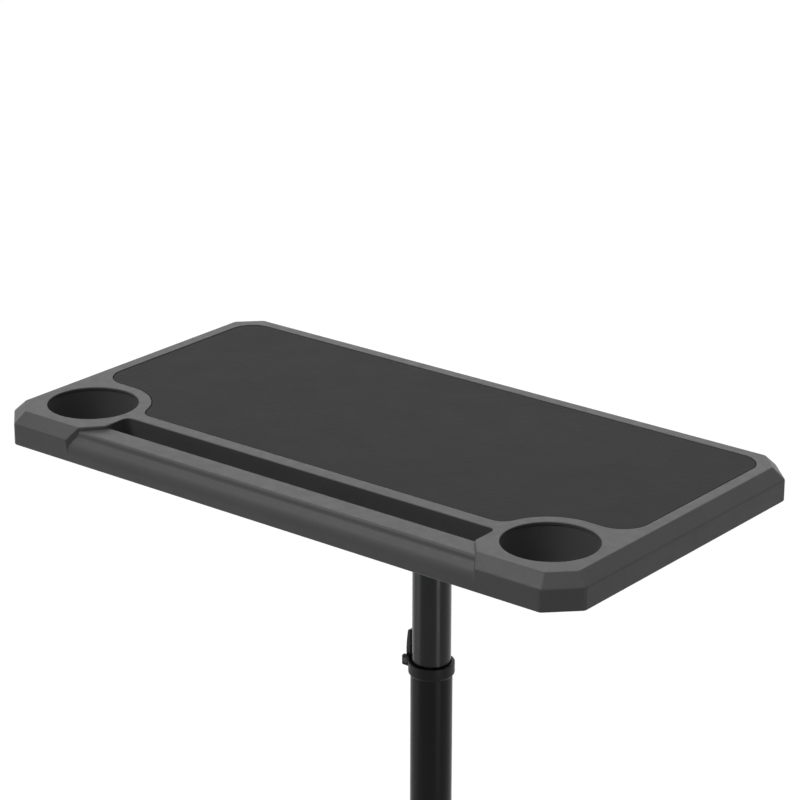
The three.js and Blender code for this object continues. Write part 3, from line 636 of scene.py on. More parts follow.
class Patterns:
    """The repeated shapes: screw heads, grip ribs, weld beads and hub ribs."""

    @cached_property
    def screws(self) -> Pattern:
        """Domed screws with a hexagon socket, standing on their seats.

        Returns:
            The tree.
        """
        lengths = ("Head Radius", "Head Height", "Shank Radius", "Shank Length", "Socket Radius")
        sheet = Pattern("socket_screws", dict.fromkeys(lengths, float) | {"Direction": Vector})
        given, add = sheet.given, sheet.add
        # Shares of the head's height, of the width below, and of each bar's own length
        skirt_share, crown_shares = 0.3, ((0.32, 0.93), (0.22, 0.86), (0.16, 0.74))
        shank_share, socket_share = -0.49, 0.95

        def times(value: Socket, factor: float) -> Socket:
            """A socket's value times a number."""
            return sheet.maths("MULTIPLY", value, factor)

        def lifted(mesh: Socket, height: Socket) -> Socket:
            """A mesh moved along Z."""
            move = add("ShaderNodeCombineXYZ", {"Z": height}).outputs[0]
            return add("GeometryNodeTransform", {"Geometry": mesh, "Translation": move}).outputs[0]

        skirt = times(given["Head Height"], skirt_share)
        head = sheet.cylinder(ROUND, given["Head Radius"], skirt)
        mesh, top = head.outputs["Mesh"], head.outputs["Top"]
        for rise_share, width_share in crown_shares:
            rise = times(given["Head Height"], rise_share)
            grow = {"Mesh": mesh, "Selection": top, "Offset Scale": rise, "Individual": False}
            grown = add("GeometryNodeExtrudeMesh", grow).outputs
            top = grown["Top"]
            shrink = {"Geometry": grown["Mesh"], "Selection": top, "Scale": width_share}
            mesh = add("GeometryNodeScaleElements", shrink).outputs[0]
        head_solid = lifted(mesh, times(skirt, 0.5))
        shank = sheet.cylinder(ROUND // 2, given["Shank Radius"], given["Shank Length"])
        shank_solid = lifted(shank.outputs["Mesh"], times(given["Shank Length"], shank_share))
        socket = sheet.cylinder(6, given["Socket Radius"], given["Head Height"])
        socket_solid = lifted(socket.outputs["Mesh"], times(given["Head Height"], socket_share))
        whole = add(
            "GeometryNodeMeshBoolean", {"Mesh 2": head_solid}, operation="UNION", solver="MANIFOLD"
        )
        sheet.tree.links.new(shank_solid, whole.inputs["Mesh 2"])
        meshes = {"Mesh 1": whole.outputs["Mesh"], "Mesh 2": socket_solid}
        cut = add("GeometryNodeMeshBoolean", meshes, operation="DIFFERENCE", solver="MANIFOLD")
        sheet.seat(cut.outputs["Mesh"], sheet.towards(given["Direction"]))
        return sheet

    @cached_property
    def ribs(self) -> Pattern:
        """Straight round-backed ribs, one on each seat.

        Returns:
            The tree.
        """
        sheet = Pattern("grip_ribs", {"Length": float, "Radius": float, "Direction": Vector})
        bar = sheet.cylinder(12, sheet.given["Radius"], sheet.given["Length"])
        sheet.seat(bar.outputs["Mesh"], sheet.towards(sheet.given["Direction"]))
        return sheet

    @cached_property
    def weld(self) -> Pattern:
        """A run of overlapping weld drops, no two quite alike.

        Returns:
            The tree.
        """
        sheet = Pattern("weld_run", {"Drop Radius": float, "Unevenness": float, "Seed": int})
        given, add = sheet.given, sheet.add
        ball = {"Segments": 12, "Rings": 8, "Radius": given["Drop Radius"]}
        drop = add("GeometryNodeMeshUVSphere", ball)
        draw = {2: sheet.maths("SUBTRACT", 1.0, given["Unevenness"]), 3: 1.0, "Seed": given["Seed"]}
        spread = add("FunctionNodeRandomValue", draw, data_type="FLOAT").outputs[1]
        size = add("ShaderNodeCombineXYZ", {"X": spread, "Y": spread, "Z": spread}).outputs[0]
        turn = add("FunctionNodeEulerToRotation").outputs[0]
        sheet.seat(drop.outputs["Mesh"], turn, size)
        return sheet

    @cached_property
    def spokes(self) -> Pattern:
        """Radial ribs of a hub, in the plane across X, all round each seat.

        Returns:
            The tree.
        """
        lengths = ("Inner Radius", "Outer Radius", "Thickness", "Width")
        sheet = Pattern("hub_ribs", {"Count": int} | dict.fromkeys(lengths, float))
        given, add = sheet.given, sheet.add
        inner, outer = given["Inner Radius"], given["Outer Radius"]
        reach = sheet.maths("SUBTRACT", outer, inner)
        spans = {"X": given["Width"], "Y": given["Thickness"], "Z": reach}
        size = add("ShaderNodeCombineXYZ", spans).outputs[0]
        bar = add("GeometryNodeMeshCube", {"Size": size}).outputs["Mesh"]
        half = sheet.maths("MULTIPLY", sheet.maths("ADD", outer, inner), 0.5)
        circle = {"Vertices": given["Count"], "Radius": half}
        ring = add("GeometryNodeMeshCircle", circle).outputs[0]
        tilt = {"Geometry": ring, "Rotation": (0, QUARTER, 0)}
        stood = add("GeometryNodeTransform", tilt).outputs[0]
        turn = sheet.towards(add("GeometryNodeInputPosition").outputs[0], pivot_axis="X")
        spread = {"Points": stood, "Instance": bar, "Rotation": turn}
        wheel = add("GeometryNodeInstanceOnPoints", spread).outputs[0]
        sheet.seat(wheel, add("FunctionNodeEulerToRotation").outputs[0])
        return sheet


PATTERNS = Patterns()


# Finishes


class Surface(NodeSheet):
    """A material that is written on the piece's own object coordinates."""

    def __init__(self, name: str) -> None:
        """Makes the material with its shader and its coordinates.

        Args:
            name: the material's name.
        """
        self.material = bpy.data.materials.new(name)
        self.material.use_nodes = True
        super().__init__(self.material.node_tree)
        self.tree.nodes.clear()
        self.spot = self.add("ShaderNodeTexCoord").outputs["Object"]
        self.shader = self.add("ShaderNodeBsdfPrincipled")
        self.add("ShaderNodeOutputMaterial", {"Surface": self.shader.outputs[0]})

    def noise(
        self, size: float, detail: float = 2.0, stretch: Sequence[float] = (1, 1, 1)
    ) -> Socket:
        """Noise of a given grain.

        Args:
            size: the size of one blot, in metres.
            detail: octaves of finer noise.
            stretch: how much the pattern is squeezed along each axis.

        Returns:
            The noise's level, nearly all of it inside NOISE_RANGE.
        """
        squeeze = {"Vector": self.spot, "Scale": tuple(stretch)}
        spot = self.add("ShaderNodeMapping", squeeze).outputs[0]
        grain = {"Vector": spot, "Scale": 1 / size, "Detail": detail}
        return self.add("ShaderNodeTexNoise", grain).outputs["Fac"]

    def spread(self, level: Socket, low: float, high: float) -> Socket:
        """Noise turned into a value between two limits."""
        return self.ranged(level, low, high, *NOISE_RANGE)

    def tinted(self, share: Socket, first: Colour, second: Colour) -> Socket:
        """A colour between two others."""
        colours = {"Fac": share, "Color1": first, "Color2": second}
        return self.add("ShaderNodeMixRGB", colours).outputs[0]

    def bumped(self, *layers: tuple[Socket, float], soften: float = 0.0) -> None:
        """Sets the shader's normal from height layers.

        Args:
            layers: a height level and its depth in metres, the coarsest first.
            soften: radius over which edges and inner corners turn softly, in metres.
        """
        below = {}
        if soften:
            below["Normal"] = self.add("ShaderNodeBevel", {"Radius": soften}, samples=6).outputs[0]
        for height, depth in layers:
            inputs = {"Height": height, "Distance": depth, "Strength": 1.0} | below
            below["Normal"] = self.add("ShaderNodeBump", inputs).outputs[0]
        self.set("Normal", below["Normal"])

    def edges(self, radius: float) -> Socket:
        """How close a point is to an outer or inner edge, 0 on a flat face to 1 on an edge.

        Args:
            radius: how far an edge's softening reaches.

        Returns:
            The level.
        """
        soft = self.add("ShaderNodeBevel", {"Radius": radius}, samples=4).outputs[0]
        true = self.add("ShaderNodeNewGeometry").outputs["Normal"]
        along = self.add("ShaderNodeVectorMath", {0: soft, 1: true}, operation="DOT_PRODUCT")
        return self.ranged(along.outputs["Value"], 0.0, 1.0, *FACE_TO_EDGE)

    def set(self, name: str, value: object) -> None:
        """Gives one of the shader's inputs a value or a link."""
        self.give(self.shader, name, value)


@dataclass(frozen=True)
class Finish:
    """A material by its name, its colour and how rough it is."""

    name: str
    colour: Colour
    roughness: float

    def shade(self, factor: float) -> Colour:
        """The colour made lighter or darker."""
        red, green, blue, _ = self.colour
        return (red * factor, green * factor, blue * factor, 1.0)

    def clouded(self, sheet: Surface, level: Socket, low: float, high: float) -> Socket:
        """The colour, drifting between two shades of itself."""
        return sheet.tinted(sheet.spread(level, 0, 1), self.shade(low), self.shade(high))

    def uneven(self, sheet: Surface, level: Socket, low: float, high: float) -> None:
        """Sets the roughness, drifting between two steps from the finish's own."""
        drift = sheet.spread(level, self.roughness + low, self.roughness + high)
        sheet.set("Roughness", drift)

    def material(self) -> Material:
        """Writes the material's nodes."""
        raise NotImplementedError


@dataclass(frozen=True)
class MouldedPlastic(Finish):
    """Injection-moulded plastic: an eroded grain, faint clouding and lighter edges, partly rubbed
    wear and partly a painted highlight.
    """

    gloss: float = 0.5
    grain: float = 0.7 * MM
    depth: float = 0.03 * MM
    # how much lighter every edge is drawn: partly rubbed wear, partly a painted highlight
    rub: float = 0.25
    soften: float = 0.7 * MM
    cloud: float = 60 * MM
    fleck: float = 1.6 * MM
    sheen: float = 9 * MM
    # reach of that lighter edge band, partly wear and partly painted highlight
    worn_and_highlit_edge: float = 1.2 * MM

    def material(self) -> Material:
        """Writes the material's nodes.

        Returns:
            The material.
        """
        sheet = Surface(self.name)
        cloud = sheet.noise(self.cloud, 3)
        fleck = sheet.noise(self.fleck, 1)
        body = self.clouded(sheet, cloud, 0.94, 1.06)
        grained = sheet.tinted(sheet.spread(fleck, 0, 0.22), body, self.shade(1.35))
        # edges and inner corners drawn lighter: partly rubbed wear, partly a painted highlight
        worn = sheet.maths("MULTIPLY", sheet.edges(self.worn_and_highlit_edge), self.rub)
        sheet.set("Base Color", sheet.tinted(worn, grained, self.shade(1.7)))
        self.uneven(sheet, sheet.noise(self.sheen, 4), -0.05, 0.05)
        sheet.set("Specular IOR Level", self.gloss)
        coarse, fine = sheet.noise(self.grain * 3, 2), sheet.noise(self.grain, 3)
        sheet.bumped((coarse, self.depth), (fine, self.depth), soften=self.soften)
        return sheet.material


@dataclass(frozen=True)
class RubberMat(Finish):
    """Cast rubber sheet: a close pebbled grain, dull, faintly clouded where hands rub it."""

    roughness: float = 0.62
    gloss: float = 0.09
    pebble: float = 1.1 * MM
    depth: float = 0.12 * MM
    cloud: float = 80 * MM
    rub: float = 30 * MM
    swell: float = 6 * MM

    def material(self) -> Material:
        """Writes the material's nodes.

        Returns:
            The material.
        """
        sheet = Surface(self.name)
        cells = {"Vector": sheet.spot, "Scale": 1 / self.pebble}
        pattern = sheet.add("ShaderNodeTexVoronoi", cells, feature="SMOOTH_F1")
        pebbles = pattern.outputs["Distance"]
        cloud = sheet.noise(self.cloud, 4)
        rubbed = sheet.noise(self.rub, 6)
        body = self.clouded(sheet, cloud, 0.95, 1.05)
        grained = sheet.tinted(sheet.spread(pebbles, 0.12, 0), body, self.shade(1.5))
        sheet.set("Base Color", grained)
        self.uneven(sheet, rubbed, 0.015, -0.015)
        sheet.set("Specular IOR Level", self.gloss)
        sheet.bumped((sheet.noise(self.swell, 2), self.depth), (pebbles, -self.depth))
        return sheet.material


@dataclass(frozen=True)
class PowderCoat(Finish):
    """Baked paint over steel tube: orange peel, a little flake, edges where it has drawn thin."""

    gloss: float = 0.5
    metallic: float = 0.0
    peel: float = 1.6 * MM
    depth: float = 0.02 * MM
    flake: float = 0.5 * MM
    cloud: float = 45 * MM
    sheen: float = 12 * MM
    thin_edge: float = 0.8 * MM
    thin_share: float = 0.3

    def material(self) -> Material:
        """Writes the material's nodes.

        Returns:
            The material.
        """
        sheet = Surface(self.name)
        flakes = sheet.noise(self.flake, 2)
        cloud = sheet.noise(self.cloud, 3)
        body = self.clouded(sheet, cloud, 0.92, 1.08)
        flaked = sheet.tinted(sheet.spread(flakes, 0, 0.3), body, self.shade(1.6))
        thin = sheet.maths("MULTIPLY", sheet.edges(self.thin_edge), self.thin_share)
        sheet.set("Base Color", sheet.tinted(thin, flaked, self.shade(2)))
        self.uneven(sheet, sheet.noise(self.sheen, 4), -0.04, 0.04)
        sheet.set("Metallic", self.metallic)
        sheet.set("Specular IOR Level", self.gloss)
        sheet.bumped((sheet.noise(self.peel, 2), self.depth))
        return sheet.material


@dataclass(frozen=True)
class TyreRubber(Finish):
    """Solid castor tyre: matt grey rubber, scuffed on its tread and dusty in its grain."""

    roughness: float = 0.8
    gloss: float = 0.35
    scuff: float = 5 * MM
    scuff_depth: float = 0.08 * MM
    dust: float = 16 * MM
    grain: float = 0.8 * MM
    grain_depth: float = 0.05 * MM

    def material(self) -> Material:
        """Writes the material's nodes.

        Returns:
            The material.
        """
        sheet = Surface(self.name)
        scuffs = sheet.noise(self.scuff, 6, stretch=(3, 1, 1))
        dust = sheet.noise(self.dust, 4)
        body = self.clouded(sheet, dust, 0.85, 1.25)
        sheet.set("Base Color", sheet.tinted(sheet.spread(scuffs, 0, 0.25), body, self.shade(2.2)))
        self.uneven(sheet, scuffs, 0.08, -0.1)
        sheet.set("Specular IOR Level", self.gloss)
        grain = sheet.noise(self.grain, 3)
        sheet.bumped((scuffs, self.scuff_depth), (grain, self.grain_depth))
        return sheet.material


@dataclass(frozen=True)
class PlatedSteel(Finish):
    """Pressed or turned steel under a thin plating: drawn lines, a mottled bloom, soft shine."""

    bloom: Colour
    line: float = 0.9 * MM
    line_depth: float = 0.012 * MM
    patch: float = 7 * MM
    patch_depth: float = 0.02 * MM

    def material(self) -> Material:
        """Writes the material's nodes.

        Returns:
            The material.
        """
        sheet = Surface(self.name)
        lines = sheet.noise(self.line, 3, stretch=(1, 1, 6))
        patches = sheet.noise(self.patch, 5)
        mottled = sheet.tinted(sheet.spread(patches, 0, 0.7), self.colour, self.bloom)
        sheet.set("Base Color", mottled)
        sheet.set("Metallic", 1.0)
        self.uneven(sheet, lines, -0.07, 0.09)
        sheet.bumped((patches, self.patch_depth), (lines, self.line_depth))
        return sheet.material


class Paint(Enum):
    """The desk's finishes, each paired with one of the record's slots."""

    TRAY = MouldedPlastic("charcoal_plastic", grey(73), 0.42, gloss=0.19), Slot.TRAY
    # Pan, lever, end caps and castors
    PLASTIC = (
        MouldedPlastic(
            "black_plastic", grey(30), 0.45, gloss=0.25, grain=0.5 * MM, soften=0.5 * MM
        ),
        Slot.PLASTIC,
    )
    WELL = MouldedPlastic("well_plastic", grey(78), 0.5, gloss=0.2, soften=0.5 * MM), Slot.PLASTIC
    CLAMP = (
        MouldedPlastic("clamp_nylon", grey(22), 0.42, gloss=0.14, grain=0.5 * MM, soften=0.4 * MM),
        Slot.PLASTIC,
    )
    HUB = MouldedPlastic("hub_plastic", grey(70), 0.5, grain=0.5 * MM), Slot.PLASTIC
    MAT = RubberMat("black_rubber_sheet", grey(35)), Slot.MAT
    # Inner and outer tube of the column
    COLUMN = (
        PowderCoat("satin_column_paint", grey(34, (0.94, 1.04, 1.0)), 0.22, gloss=0.2),
        Slot.COLUMN,
    )
    SLEEVE = PowderCoat("black_column_paint", grey(20), 0.3, gloss=0.11), Slot.COLUMN
    # Head, foot and base
    BASE = PowderCoat("black_powder_coat", grey(30), 0.48, depth=0.04 * MM), Slot.BASE
    TYRE = TyreRubber("tyre_rubber", grey(46)), Slot.TYRE
    # Stems and axles, then screws
    ZINC = PlatedSteel("zinc_plate", grey(200), 0.3, grey(170, (1.0, 0.97, 0.88))), Slot.ZINC
    STEEL = PlatedSteel("black_oxide", grey(62), 0.38, grey(40, (1.05, 1.0, 0.95))), Slot.STEEL

    def __init__(self, finish: Finish, slot: Slot) -> None:
        """Takes the finish and its slot apart."""
        self.finish, self.slot = finish, slot


@cache
def painted(paint: Paint) -> Material:
    """A finish's material, made once."""
    return paint.finish.material()


def coated(piece: Piece, paint: Paint) -> None:
    """Gives a piece one material."""
    piece.data.materials.clear()
    piece.data.materials.append(painted(paint))


def handed(piece: Piece, body: str, paint: Paint, *nodes: str) -> None:
    """Gives a finished piece its material, its body and the nodes that it stands for.

    Args:
        piece: the piece, with its mesh in place.
        body: the frame's body that it rides on.
        paint: its finish.
        nodes: the frame's nodes that it replaces.
    """
    coated(piece, paint)
    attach(piece, body)
    if nodes:
        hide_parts(*nodes)
    triangles = sum(len(face.vertices) - 2 for face in piece.data.polygons)
    log.info("%s on %s, %d triangles", piece.name, body, triangles)


# Screws


@dataclass(frozen=True)
class Screw:
    """A kind of domed socket screw, by the sizes of its head and its shank."""

    head: float
    height: float
    shank: float
    socket_share: float = 0.5  # socket radius to head radius

    def set(
        self,
        name: str,
        body: str,
        seats: Sequence[Vector],
        direction: tuple[float, float, float],
        length: float,
        nodes: Sequence[str],
    ) -> None:
        """Sets a group of screws that all face one way, and hands it over.

        Args:
            name: the group's name.
            body: the frame's body that it rides on.
            seats: middle of each head's seat.
            direction: the way that the heads face.
            length: length of the shank.
            nodes: the frame's nodes that it replaces.
        """
        group = PATTERNS.screws.run(
            name,
            seats,
            Paint.STEEL,
            Head_Radius=self.head,
            Head_Height=self.height,
            Shank_Radius=self.shank,
            Shank_Length=length,
            Socket_Radius=self.head * self.socket_share,
            Direction=direction,
        )
        handed(group, body, Paint.STEEL, *nodes)


# Tray


@dataclass
class Tray:
    """Moulded tray: shell, inlaid mat, cup wells and the pan that closes it from below."""

    corner: float = 26 * MM
    corner_round: float = 5 * MM
    bevel: float = 10.5 * MM
    top_round: float = 1.4 * MM
    break_round: float = 3 * MM
    foot_round: float = 1.5 * MM
    wall: float = 3 * MM
    rim: float = 0.8 * MM  # soft edge of every recess
    cup_from_side: float = 63 * MM
    cup_from_front: float = 64.4 * MM
    cup_radius: float = 41.4 * MM
    cup_lip: float = 0.8 * MM
    mat_from_side: float = 21.8 * MM
    mat_from_rear: float = 21.4 * MM
    mat_from_front: float = 71.2 * MM
    mat_rear_round: float = 24 * MM
    mat_side_round: float = 26 * MM
    mat_cup_radius: float = 53 * MM
    mat_front_round: float = 16 * MM
    mat_recess: float = 2.5 * MM
    mat_seam: float = 0.8 * MM
    mat_edge: float = 0.45 * MM
    slot_from_front: float = 34 * MM
    slot_back_from_front: float = 57.2 * MM
    slot_end_from_cup: float = 50 * MM
    slot_depth: float = 20 * MM
    slot_rear_round: float = 6 * MM
    slot_front_round: float = 3 * MM
    slot_lip: float = 1.6 * MM
    rest_drop: float = 3.6 * MM
    rest_flat_from_front: float = 10.4 * MM
    rest_edge_round: float = 3 * MM
    step_from_front: float = 8.6 * MM
    step_drop: float = 8 * MM
    step_round: float = 6 * MM
    nose_drop: float = 17.2 * MM
    nose_round: float = 16 * MM
    block_turn_from_front: float = 29 * MM
    block_turn_round: float = 8 * MM
    block_front_from_cup: float = 25.6 * MM
    block_edge: float = 1.1 * MM
    flank_share: float = 0.15
    rib: float = 2.4 * MM
    rib_foot: float = 6.5 * MM  # from the bosses' feet up to the ribs
    cross_rib_shares: tuple[float, ...] = (-0.62, -0.22, 0.22, 0.62)  # of half the width
    long_rib_shares: tuple[float, ...] = (-0.2, 0.62)  # of half the depth
    boss_radius: float = 6 * MM
    pilot_radius: float = 2.5 * MM
    pilot_depth: float = 16 * MM
    pan_thickness: float = 2.5 * MM
    flange_reach: float = 4.5 * MM  # of a well, beyond its wall
    pan_round: float = 1.2 * MM
    pan_rim: float = 2 * MM
    hole_gap: float = 0.3 * MM
    well_wall: float = 1.8 * MM
    well_draft: float = 1.5 * MM
    well_floor: float = 2.2 * MM
    well_fillet: float = 5 * MM
    well_flange: float = 2 * MM
    well_soft: float = 0.5 * MM
    screw: Screw = Screw(4.6 * MM, 2.8 * MM, 2.2 * MM)
    screw_length: float = 16 * MM

    def __post_init__(self) -> None:
        """Reads the tray's place and overall size from the frame."""
        low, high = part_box("tabletop_shell")
        self.place = upright("tabletop_shell") @ shift(z=high.z)
        self.half_width = (high.x - low.x) / 2
        self.half_depth = (high.y - low.y) / 2
        self.thickness = high.z - low.z
        self.cup_x = self.half_width - self.cup_from_side
        self.cup_y = self.cup_from_front - self.half_depth
        self.slot_half_length = self.cup_x - self.slot_end_from_cup
        self.mid_slot = (self.slot_from_front + self.slot_back_from_front) / 2 - self.half_depth

    def cup_places(self, x: float = 0.0, y: float = 0.0) -> list[Matrix]:
        """Moves from the middle of the tray, or of a place given, to both cups."""
        return [shift(x + side.value * self.cup_x, y + self.cup_y) for side in Side]

    def plan(self, inset: float, height: float, bend: int = 5) -> list[Vector]:
        """The tray's octagon, drawn in from the outside, at a height.

        Args:
            inset: how far it is drawn in.
            height: its height, 0 in the top plane.
            bend: divisions of each corner's round.

        Returns:
            The outline's points.
        """
        a, b = self.half_width - inset, self.half_depth - inset
        c = self.corner - inset * (2 - math.sqrt(2))
        r = self.corner_round
        corners = [
            (a, c - b, r), (a, b - c, r), (a - c, b, r), (c - a, b, r),
            (-a, b - c, r), (-a, c - b, r), (c - a, -b, r), (a - c, -b, r),
        ]
        return raised(rounded(corners, bend), height)

    def mat_plan(self, grow: float, steps: int = 12) -> list[Vector]:
        """The mat's outline, with concave arcs round both cup holes, grown outwards.

        Args:
            grow: how far it is grown.
            steps: divisions of each round corner.

        Returns:
            The outline's points.
        """
        side = self.half_width - self.mat_from_side
        rear = self.half_depth - self.mat_from_rear
        front = self.mat_from_front - self.half_depth
        reach = self.mat_cup_radius + self.mat_front_round
        rise = front + self.mat_front_round - self.cup_y
        run = math.sqrt(reach**2 - rise**2)
        tip = math.acos(-run / reach)
        corner = (side - self.mat_rear_round, rear - self.mat_rear_round)
        flank = (side - self.mat_side_round, self.cup_y + self.mat_cup_radius + self.mat_side_round)
        front_centre = (self.cup_x - run, front + self.mat_front_round)
        cup = (self.cup_x, self.cup_y)
        right = [
            *arc(front_centre, self.mat_front_round + grow, -QUARTER, tip - math.pi, steps),
            *arc(cup, self.mat_cup_radius - grow, tip, QUARTER, 2 * steps),
            *arc(flank, self.mat_side_round + grow, -QUARTER, 0, steps),
            *arc(corner, self.mat_rear_round + grow, 0, QUARTER, steps),
        ]
        left = [Vector((-point.x, point.y)) for point in reversed(right)]
        return [*right, *left]

    def slot_plan(self, grow: float) -> list[Vector]:
        """The slot's outline, grown outwards.

        Args:
            grow: how far it is grown.

        Returns:
            The outline's points.
        """
        x = self.slot_half_length + grow
        front = self.slot_from_front - self.half_depth - grow
        back = self.slot_back_from_front - self.half_depth + grow
        near, far = self.slot_front_round + grow, self.slot_rear_round + grow
        return rounded([(-x, front, near), (x, front, near), (x, back, far), (-x, back, far)], 6)

    def block_plan(self, shrink: float, height: float) -> list[Vector]:
        """The right front corner's block at a height: its end turns out to the front wall.

        Args:
            shrink: how far its end is drawn back.
            height: the height, 0 in the top plane.

        Returns:
            The outline's points.
        """
        lean = -height * self.flank_share - shrink
        run = self.cup_x - self.block_front_from_cup - self.slot_half_length
        slant = math.atan2(run, self.block_turn_from_front)
        x = self.slot_half_length - lean
        y = self.block_turn_from_front - self.half_depth - lean * math.tan(slant / 2)
        far = self.half_width + OVERRUN
        front = -self.half_depth - 2 * OVERRUN
        corners = [
            (x, self.mid_slot), (x, y, self.block_turn_round + lean),
            (x + (y - front) * math.tan(slant), front), (far, front), (far, self.mid_slot),
        ]
        return raised(rounded(corners, 12), height)

    def recess(
        self, name: str, plan: Callable[[float], list[Vector]], depth: float, edge: float
    ) -> Piece:
        """A cutting shape for a recess in the top plane, whose upper edge is rounded over.

        Args:
            name: the shape's name.
            plan: gives the recess's outline for an amount of growth.
            depth: how deep it is.
            edge: radius of its upper edge.

        Returns:
            The cutting shape.
        """
        turn = quarter_round(edge, 5)
        rings = [raised(plan(-inset), rise - depth) for inset, rise in turn]
        rings += [raised(plan(flare), -fall) for fall, flare in turn]
        rings.append(raised(plan(edge), OVERRUN))
        return loft(name, rings)

    def rest_cut(self, grow: float = 0.0) -> Piece:
        """Everything above the wrist rest and its nose, between the two corner blocks.

        Args:
            grow: how far the shape is grown into the plastic. A grown one has plain edges.

        Returns:
            The cutting shape.
        """
        slot_wall = self.slot_from_front - self.half_depth
        flat = self.rest_flat_from_front - self.half_depth + grow
        foot = self.step_from_front - self.half_depth + grow
        wall = grow - self.half_depth
        top = -self.rest_drop - grow
        lip = 0 if grow else self.slot_lip
        nose = rounded(
            [
                (self.mid_slot, top - 2 * lip), (slot_wall, top - 2 * lip),
                (slot_wall, top, lip), (flat, top, self.rest_edge_round),
                (foot, -self.step_drop - grow, self.step_round),
                (wall, -self.nose_drop - grow, self.nose_round - grow),
                (wall, -self.thickness - grow),
            ],
            10,
            closed=False,
        )[:-1]
        outside = -self.half_depth - OVERRUN
        over = ((outside, nose[-1].y), (outside, OVERRUN), (self.mid_slot, OVERRUN))
        outline = [*nose, *map(Vector, over)]
        strip = prism("wrist_rest_cut", outline, -self.half_width, self.half_width, ACROSS)
        turn = [(0.0, 0.0)] if grow else quarter_round(self.block_edge, 5)
        rings = [self.block_plan(grow, -self.thickness)]
        rings += [self.block_plan(grow + inset, -fall) for fall, inset in turn]
        rings.append(raised(rings[-1], 2 * OVERRUN))
        block = loft("corner_block", rings)
        twin = copied(block, Matrix.Diagonal((-1, 1, 1, 1)))
        return carved(strip, Carve.CUT, block, twin)

    def outside(self) -> Piece:
        """The tray's outer form: wall, bevel and their rounded breaks."""
        edge = rounded(
            [
                (2 * self.foot_round, -self.thickness),
                (0, -self.thickness, self.foot_round), (0, -self.bevel, self.break_round),
                (self.bevel, 0, self.top_round), (self.bevel + self.top_round, 0),
            ],
            7,
            closed=False,
        )
        return loft("tray_moulding", [self.plan(point.x, point.y) for point in edge])

    def stiffening(self, screw_places: Sequence[Vector]) -> Piece:
        """The ribs and screw bosses under the tray, cleared round both wells.

        Args:
            screw_places: middle of each screw's seat, from the middle of the tray.

        Returns:
            All of them in one piece.
        """
        foot = self.pan_thickness + self.hole_gap - self.thickness
        low = foot + self.rib_foot
        a, b, half = self.half_width, self.half_depth, self.rib / 2
        pieces = []
        for x in (share * a for share in self.cross_rib_shares):
            pieces.append(brick("tray_rib", (x - half, x + half), (-b, b), (low, 0)))
        for y in (share * b for share in self.long_rib_shares):
            pieces.append(brick("tray_rib", (-a, a), (y - half, y + half), (low, 0)))
        for spot in screw_places:
            pieces.append(rod("screw_boss", self.boss_radius, foot, 0, shift(spot.x, spot.y)))
        clear = half_span("cup_well_left") + self.hole_gap
        bottom = -self.thickness - OVERRUN
        wells = [rod("well_room", clear, bottom, -self.wall, at, FINE) for at in self.cup_places()]
        joined = carved(pieces[0], Carve.JOIN, *pieces[1:])
        return carved(joined, Carve.CUT, *wells)

    def hollow(self, screw_places: Sequence[Vector]) -> Piece:
        """The open space under the tray's skin, round its ribs and bosses.

        Args:
            screw_places: middle of each screw's seat, from the middle of the tray.

        Returns:
            The cutting shape.
        """
        turn = self.wall * math.tan(math.pi / 8)
        core = loft(
            "tray_core",
            [
                self.plan(self.wall, -self.thickness - OVERRUN),
                self.plan(self.wall, -self.bevel - turn),
                self.plan(self.bevel + turn, -self.wall),
            ],
        )
        wall = self.wall
        slot = prism("slot_wall", self.slot_plan(wall), -self.slot_depth - wall, OVERRUN)
        mat = prism("mat_floor", self.mat_plan(wall), -self.mat_recess - wall, OVERRUN)
        carved(core, Carve.CUT, slot, mat, self.rest_cut(wall), self.stiffening(screw_places))
        foot = self.pan_thickness + self.hole_gap - self.thickness
        ends = foot - OVERRUN, foot + self.pilot_depth
        pilots = [
            rod("pilot_hole", self.pilot_radius, *ends, shift(spot.x, spot.y))
            for spot in screw_places
        ]
        return carved(core, Carve.JOIN, *pilots)

    def moulding(self, screw_places: Sequence[Vector]) -> Piece:
        """The tray's shell with its recesses, cup holes, ribs and hollow underside.

        Args:
            screw_places: middle of each screw's seat.

        Returns:
            The shell.
        """
        own_places = [spot - self.place.translation for spot in screw_places]
        shell = self.outside()
        slot = self.recess("slot_cut", self.slot_plan, self.slot_depth, self.rim)
        mat = self.recess("mat_cut", self.mat_plan, self.mat_recess, self.rim / 2)
        profile = [
            (0, -self.thickness), (self.cup_radius, -self.thickness),
            (self.cup_radius, 0, self.cup_lip), (self.cup_radius + 2 * self.cup_lip, 0),
            (self.cup_radius + 2 * self.cup_lip, OVERRUN), (0, OVERRUN),
        ]
        cups = [turned("cup_cut", profile, FINE, place, bend=8) for place in self.cup_places()]
        carved(shell, Carve.CUT, self.rest_cut(), slot, mat, self.hollow(own_places), *cups)
        shell.data.transform(self.place)
        return smoothed(shell)

    def mat(self) -> Piece:
        """The inlaid mat, with a softened upper edge.

        Returns:
            The mat.
        """
        low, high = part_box("desk_mat")
        outline = self.mat_plan(-self.mat_seam)
        place = shift(self.place.translation.x, self.place.translation.y)
        return smoothed(soft_prism("mat_inlay", outline, low.z, high.z, self.mat_edge, place))

